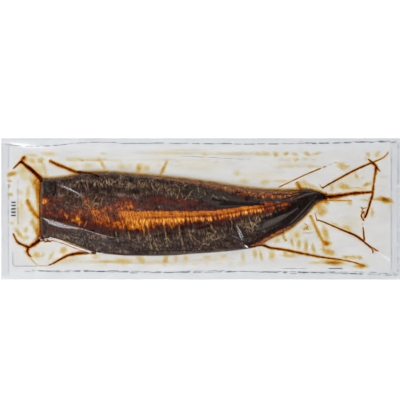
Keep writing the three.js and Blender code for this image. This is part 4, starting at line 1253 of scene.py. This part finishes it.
def film_relief(x, y):
    """Folds and fine cockles of the upper ply, on top of its stretch over the fillet."""
    relief = COCKLE_HEIGHT * speckle(x, y, 9, 7, 70) + CRINKLE_HEIGHT * speckle(x, y, 3.5, 3, 71)
    for points, to_left, to_right in FOLDS:
        relief = np.maximum(relief, fold_shape(x, y, points, to_left, to_right))
    for points, width_a, width_b, _, _ in VEINS:
        width = max(width_a, width_b)
        rise = line_mask(x, y, points, width * VEIN_BERTH) * width * MM * VEIN_FLATNESS / 2
        relief = np.maximum(relief, rise + OVER_VEINS)
    return relief * smooth(from_rim(x, y) / RELIEF_MARGIN)


def film_top(x, y):
    """The outside of the upper ply."""
    return film_height(x, y) + FILM_LIFT + film_relief(x, y)


def film_steps(length):
    """Places a film step apart, along a side of the pouch."""
    return np.linspace(-length / 2, length / 2, round(length / FILM_STEP) + 1)


def build_film():
    """Both plies as one closed skin, fine above and coarse below, joined along the rim."""
    xs, ys = film_steps(POUCH_LENGTH), film_steps(POUCH_WIDTH)
    x, y = np.meshgrid(xs, ys, indexing="ij")
    z = np.where(from_rim(x, y) < FILM_STEP / 2, flange_height(x, y) + PLY_GAP / 2, film_top(x, y))
    upper = np.arange(x.size).reshape(x.shape)
    faces = grid_faces(upper)

    # The lower ply, with fans out to the rim that both plies share.
    along_x = list(range(LOWER_STEPS, len(xs) - LOWER_STEPS, LOWER_STEPS))
    along_y = list(range(LOWER_STEPS, len(ys) - LOWER_STEPS, LOWER_STEPS))
    low_x, low_y = np.meshgrid(xs[along_x], ys[along_y], indexing="ij")
    low_z = np.maximum(flange_height(low_x, low_y), LOWEST_FILM)
    lower = upper.size + np.arange(low_x.size).reshape(low_x.shape)
    faces += grid_faces(lower.T)
    marks = [0] + along_x[1:-1] + [len(xs) - 1]
    for i in range(len(along_x) - 1):
        near = slice(marks[i], marks[i + 1] + 1)
        faces.append([lower[i, 0], lower[i + 1, 0], *upper[near, 0][::-1]])
        faces.append([lower[i + 1, -1], lower[i, -1], *upper[near, -1]])
    marks = [0] + along_y[1:-1] + [len(ys) - 1]
    for j in range(len(along_y) - 1):
        near = slice(marks[j], marks[j + 1] + 1)
        faces.append([lower[0, j + 1], lower[0, j], *upper[0, near]])
        faces.append([lower[-1, j], lower[-1, j + 1], *upper[-1, near][::-1]])

    plies = [np.stack([x, y, z], 2), np.stack([low_x, low_y, low_z], 2)]
    places = np.vstack([ply.reshape(-1, 3) for ply in plies])
    inside = smooth((from_rim(places[:, 0], places[:, 1]) - WELD_WIDTH) / WELD_FADE)
    return add_piece(new_mesh("pouch_film", places.tolist(), faces, inside=inside))


def film_material():
    """Clear film: it passes most light, greys it a little, and mirrors its surroundings."""
    film = Recipe("clear_film")
    cloud = film.grain(24, 7, detail=5)
    welded = film.mix(cloud, (0.906, 0.909, 0.915, 1), (0.926, 0.929, 0.935, 1))
    loose = film.mix(cloud, (0.892, 0.891, 0.888, 1), (0.922, 0.921, 0.916, 1))
    cockle = film.bump(film.grain(2.4, 2.0, detail=2), 0.1, 0.2)
    slope = film.node("ShaderNodeLayerWeight", None, Blend=0.5, Normal=cockle).outputs["Facing"]
    share = film.maths("ADD", 0.04, film.times(film.maths("POWER", slope, 4.0), 0.25))
    gloss = film.gloss(Roughness=0.2, Normal=cockle)
    return film.finish_clear(film.mix(film.mask("inside"), welded, loose), share, gloss)


clear_film = film_material()
pouch = build_film()
pouch.data.materials.append(clear_film)
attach(pouch, "root")

# ---------------------------------------------------------------------------------------------
# Creases, seals and painted highlights. The welded bands at both ends are knurled, the film is
# marked by the edges of the sealing bars, and it has turned white along its sharpest creases; white
# strokes there also paint the highlights of the film's folds.
# ---------------------------------------------------------------------------------------------
# Along the edges of the sealing bars: points in mm, width in mm and how much of it is dashed.
BAR_LINES = [
    ([(-81, 65.4), (-20, 65.6), (40, 64.9), (99, 65.2), (150, 66.4), (170, 66.6), (176, 67.8),
      (196, 67.6)], 1.3, 0.8),
    ([(-196, 64.6), (-174, 62.6), (-148, 63.4), (-120, 66), (-84, 66.6)], 1.0, 0.8),
    ([(98, 67.2), (130, 65.4), (160, 67.6), (196, 66)], 0.9, 0.9),
    ([(-170, -61.0), (-140, -62.6), (-90, -62.2), (-20, -63.4), (60, -62.6), (130, -64.2),
      (196, -66.4)], 1.3, 0.8),
    ([(-176, -62.6), (-130, -61.4), (-60, -63.8), (20, -61.8), (90, -64.2), (150, -63),
      (196, -65)], 0.9, 0.9),
    ([(-188, -43.4), (-188, -57.2), (-164, -57.2)], 0.7, 0.0),
    ([(-183, 28), (-183, -36)], 0.6, 0.4),
    ([(-21, 52.9), (49, 49.4)], 0.5, 0.6),
    ([(190.4, 60), (190.4, -62)], 0.6, 0.5),
    ([(196.8, 66), (196.8, -66)], 0.7, 0.3),
    ([(-192.6, 66), (-192.6, -64)], 0.5, 0.4),
    # This line paints a dark reflection in a crease of the film near the lower seal.
    ([(80, -59.6), (99, -59.6)], 0.5, 0.5),
    ([(60, -24.6), (116, -24.2)], 0.4, 0.7),
]
DASH = 13.0  # longest dash in mm, and the shortest as a share of it
SHORTEST_DASH = 0.4
DASH_GAP = 4  # longest gap between two dashes, in path steps
DASH_SWAY = 0.35  # mm
FAINTEST = 0.5  # strengths of a dash, and of a line that isn't dashed
STRONGEST = 2.4
SOLID = 2.0
CREASE_TINT = (0.74, 0.74, 0.77, 1.0)  # shares of light that a crease of depth 1 passes
# Whitened creases and painted highlights, white strokes where the film's folds catch the light:
# points in mm, then width in mm and whiteness at the start and at the end.
WHITE_CREASES_AND_GLINTS = [
    ([(-151, -28.4), (-138, -32.2), (-126, -37.4), (-109, -43.0)], 1.1, 1.0, 1.0, 1.0),
    ([(-149, -30.6), (-137, -34.4), (-124, -39.6), (-108, -44.6)], 0.6, 0.5, 0.8, 0.8),
    ([(177, -42.8), (184, -48), (192.4, -54.4)], 0.9, 0.6, 1.1, 0.95),
    ([(184.7, -54.4), (192, -45), (199, -36)], 0.7, 0.6, 1.0, 0.95),
    ([(-187, 63), (-179, 57.6), (-171, 54)], 0.6, 0.5, 1.0, 0.95),
    ([(43.5, -36.2), (47.4, -38.8)], 1.8, 1.2, 1.4, 1.0),
    ([(-157, -30), (-154.6, -31.6)], 0.8, 0.6, 1.0, 0.8),
    ([(-162, -30), (-160.4, -27.6)], 0.7, 0.5, 0.9, 0.7),
    ([(-151, -31.4), (-148.4, -30.2)], 0.8, 0.7, 1.2, 1.0),
    ([(-104.6, -43.6), (-100, -44.6), (-98, -43)], 1.0, 0.8, 1.3, 1.1),
    ([(35, -16), (38.6, -22), (41.6, -28)], 0.9, 0.7, 0.35, 0.35),
]
RIB_LENGTH = 1.0 * MM
RIB_WIDTH = 0.5 * MM
RIB_HEIGHT = 0.12 * MM
RIB_SHADE = 1.6  # how much a rib greys the light
RIB_COLUMNS = [-198.4, -196.8, -195.2, -193.6, -191.9, 189.4, 191.6, 193.5, 195.4, 198.4]  # x in mm
RIB_PITCH = 1.9 * MM
RIB_MARGIN = 4 * MM  # from the pouch's long edges


def on_the_film(x, y, half_height):
    """The height at which a strand lies on top of the film, half sunk in it."""
    return film_top(x, y) + half_height / 2


def dashes():
    """The bar lines cut into dashes of chance length, each with its own strength."""
    chance = np.random.default_rng(83)
    pieces = []
    for points, width, dashed in BAR_LINES:
        path, _ = smooth_path(points, PATH_STEP)
        at = 0
        while at < len(path) - 3:
            length = len(path)
            if dashed:
                length = int(chance.uniform(SHORTEST_DASH, 1.0) * DASH * MM / PATH_STEP)
            run = path[at:at + length + 2] / MM
            sway = DASH_SWAY * chance.uniform(-1, 1) * dashed
            strength = chance.uniform(FAINTEST, STRONGEST) if dashed else SOLID
            if len(run) > 2:
                bends = run[:: max(1, len(run) // 4)] + [0, sway]
                pieces.append((bends, width, width, strength, strength))
            at += length + 1 + int(chance.uniform(0, DASH_GAP) * dashed)
    return pieces


def crease_material():
    """Film bent sharply or bruised by a sealing bar: greyer than the rest."""
    crease = Recipe("film_crease")
    dull = crease.grain(3, 3)
    depth = crease.times(crease.mask("depth"), crease.grain(2, 2))
    gloss = crease.gloss(Roughness=crease.spread(dull, 0, 1, 0.15, 0.3),
                         Normal=crease.bump(crease.grain(0.8, 0.8), 0.2, 0.1))
    grey = crease.fading(CREASE_TINT, depth)
    return crease.finish_clear(grey, crease.times(dull, 0.06), gloss)


def whitened_and_glint_material():
    """Film stretched until it scatters light, and painted highlights of the film's folds."""
    white = Recipe("whitened_film")
    patches = white.grain(3, 3)
    depth = white.times(white.mask("depth"), white.spread(patches, 0, 1, 0.7, 1.0))
    return white.finish(white.body(
        Base_Color=colour(250, 250, 252), Alpha=white.maths("MINIMUM", depth, 1.0),
        Roughness=white.spread(patches, 0, 1, 0.3, 0.5),
        Normal=white.bump(white.grain(0.8, 0.8), 0.3, 0.1),
    ))


def grow_ribs():
    """A low rounded rib on each point, all lying along X."""
    column = np.arange(RIB_MARGIN - POUCH_WIDTH / 2, POUCH_WIDTH / 2 - RIB_MARGIN, RIB_PITCH)
    places = []
    for number, at_x in enumerate(RIB_COLUMNS):
        y = column + number % 2 * RIB_PITCH / 2
        x = np.full(len(y), at_x * MM)
        places += np.column_stack([x, y, film_height(x, y) + FILM_LIFT]).tolist()
    tree = Growth("seal_ribs", Length=RIB_LENGTH, Width=RIB_WIDTH, Height=RIB_HEIGHT, Film=film_crease)
    given = tree.given
    ball = tree.node("GeometryNodeMeshUVSphere", None, Segments=8, Rings=4, Radius=0.5).outputs[0]
    size = tree.vector(X=given["Length"], Y=given["Width"], Z=given["Height"])
    ribs = tree.node("GeometryNodeInstanceOnPoints", None, Points=given["Geometry"],
                     Instance=tree.keep(ball, "depth", RIB_SHADE), Scale=size).outputs[0]
    tree.finish(ribs, given["Film"])
    return add_piece(tree.grow(new_mesh("rib_places", places, []), "seal_ribs"))


film_crease = crease_material()
for piece in (
    grow_strands("bar_marks", dashes(), 8, 0.12, 1.0, 0.0, film_crease),
    grow_strands("white_creases", WHITE_CREASES_AND_GLINTS, 8, 0.2, 1.0, 0.0, whitened_and_glint_material(), on_the_film),
    grow_ribs(),
):
    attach(piece, "root")

# ---------------------------------------------------------------------------------------------
# Printed marks and painted reflections. A packing line jets a short row of black ticks on the left
# band, and short dark strokes near the lower seal paint the dark reflections in creases of the film.
# ---------------------------------------------------------------------------------------------
TICKS = [(-187.4, y, 4.6, 1.3) for y in np.linspace(6.6, -6.6, 5)]  # x, y, length and width in mm
# Short dark strokes near the lower seal, painted dark reflections in creases of the film: x, y, length and
# width in mm.
DARK_CREASE_REFLECTIONS = [(134.5, -59.6, 14, 0.7), (88.0, -59.6, 9, 0.3), (102, -59.6, 7, 0.25)]
STROKE_LIFT = 0.05 * MM
STROKE_SIDES = 20


def build_prints_and_reflections():
    """Flat strokes with round ends, lying on the film."""
    places, faces = [], []
    angles = np.linspace(0, 2 * math.pi, STROKE_SIDES, endpoint=False)
    for at_x, at_y, length, width in TICKS + DARK_CREASE_REFLECTIONS:
        x = (at_x + np.cos(angles) * width / 2 + np.sign(np.cos(angles)) * (length - width) / 2) * MM
        y = (at_y + np.sin(angles) * width / 2) * MM
        z = film_top(x, y) + STROKE_LIFT
        faces.append([len(places) + i for i in range(STROKE_SIDES)])
        places += np.column_stack([x, y, z]).tolist()
    return add_piece(new_mesh("printed_marks_and_painted_reflections", places, faces))


def ink_and_reflection_material():
    """Jetted ink: black, with small gaps where the drops missed; the strokes near the lower seal are
    painted dark reflections.
    """
    ink_and_reflection = Recipe("jet_ink")
    drops = ink_and_reflection.grain(0.5, 0.5)
    return ink_and_reflection.finish(ink_and_reflection.body(
        Base_Color=ink_and_reflection.mix(drops, colour(22, 20, 24), colour(60, 58, 62)),
        Roughness=ink_and_reflection.spread(drops, 0, 1, 0.4, 0.6), Normal=ink_and_reflection.bump(drops, 0.3, 0.05),
        Alpha=ink_and_reflection.spread(ink_and_reflection.grain(0.6, 0.6), 0.05, 0.3, 0.45, 1.0),
    ))


prints_and_reflections = build_prints_and_reflections()
prints_and_reflections.data.materials.append(ink_and_reflection_material())
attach(prints_and_reflections, "root")

# ---------------------------------------------------------------------------------------------
# The table, the light and the camera. A white table under soft light from all sides, with the
# camera straight above.
# ---------------------------------------------------------------------------------------------
TABLE_SIZE = 3.4
TABLE_DROP = 0.2 * MM  # below the pouch
VIEW_CENTRE = (-1.0 * MM, 8.9 * MM)
VIEW_WIDTH = 0.4
CAMERA_HEIGHT = 1.25
SENSOR = 36.0


def build_table():
    """A large white top, which stays out of the part."""
    half = TABLE_SIZE / 2
    corners = [(-half, -half), (half, -half), (half, half), (-half, half)]
    mesh = new_mesh("table", [(x, y, -TABLE_DROP) for x, y in corners], [(0, 1, 2, 3)])
    table = bpy.data.objects.new("table", mesh)
    bpy.context.scene.collection.objects.link(table)
    white = Recipe("white_table")
    shade = white.mix(white.grain(60, 60), (0.9, 0.9, 0.9, 1), (0.93, 0.93, 0.93, 1))
    mesh.materials.append(white.finish(
        white.body(Base_Color=shade, Roughness=0.8, Specular_IOR_Level=0.2)))


def add_softbox(name, azimuth, elevation, distance, width, height, watts, mirrored=False):
    """A rectangular lamp aimed at the middle of the pouch, and whether the film mirrors it."""
    lamp = bpy.data.lights.new(name, "AREA")
    lamp.shape = "RECTANGLE"
    lamp.size = width
    lamp.size_y = height
    lamp.energy = watts
    place = bpy.data.objects.new(name, lamp)
    turn, lift = math.radians(azimuth), math.radians(elevation)
    towards = Vector((math.cos(turn) * math.cos(lift), math.sin(turn) * math.cos(lift), math.sin(lift)))
    place.location = towards * distance
    place.visible_glossy = mirrored
    place.rotation_euler = towards.to_track_quat("Z", "Y").to_euler()
    bpy.context.scene.collection.objects.link(place)


build_table()
# Each lamp: azimuth and elevation in degrees, distance, width and height in m, and power in W.
add_softbox("overhead_softbox", 90, 89, 1.5, 0.6, 0.6, 13.5)
add_softbox("north_softbox", 90, 45, 1.4, 1.1, 0.5, 2.5)
add_softbox("east_softbox", 0, 45, 1.4, 1.1, 0.5, 2.5)
add_softbox("south_softbox", 270, 45, 1.4, 1.1, 0.5, 1.2)
add_softbox("west_softbox", 180, 45, 1.4, 1.1, 0.5, 2.8)
add_softbox("window", 222.5, 47, 1.3, 0.9, 0.25, 7.2, mirrored=True)

WALL_GLOW = 0.16  # brightness of the walls and of the ceiling as the pouch sees them
CEILING_GLOW = 0.02
BACKDROP = 0.86  # brightness of the far walls as the camera sees them
world = bpy.data.worlds.new("studio")
world.use_nodes = True
studio = Wiring(world.node_tree)
way = studio.node("ShaderNodeTexCoord").outputs["Generated"]
rise = studio.node("ShaderNodeSeparateXYZ", None, Vector=way).outputs["Z"]
glow = studio.spread(rise, 0.3, 0.9, WALL_GLOW, CEILING_GLOW)
camera_ray = studio.node("ShaderNodeLightPath").outputs["Is Camera Ray"]
seen = studio.node("ShaderNodeMix", None, Factor=camera_ray, A=glow, B=BACKDROP).outputs[0]
background = world.node_tree.nodes["Background"]
background.inputs["Color"].default_value = (1, 1, 1, 1)
world.node_tree.links.new(seen, background.inputs["Strength"])
bpy.context.scene.world = world
bpy.context.scene.view_settings.view_transform = "Standard"
bpy.context.scene.cycles.transparent_max_bounces = 24

camera = bpy.data.objects.new("camera", bpy.data.cameras.new("camera"))
camera.data.sensor_width = SENSOR
camera.data.lens = SENSOR * CAMERA_HEIGHT / VIEW_WIDTH
camera.location = (*VIEW_CENTRE, CAMERA_HEIGHT)
bpy.context.scene.collection.objects.link(camera)
bpy.context.scene.camera = camera
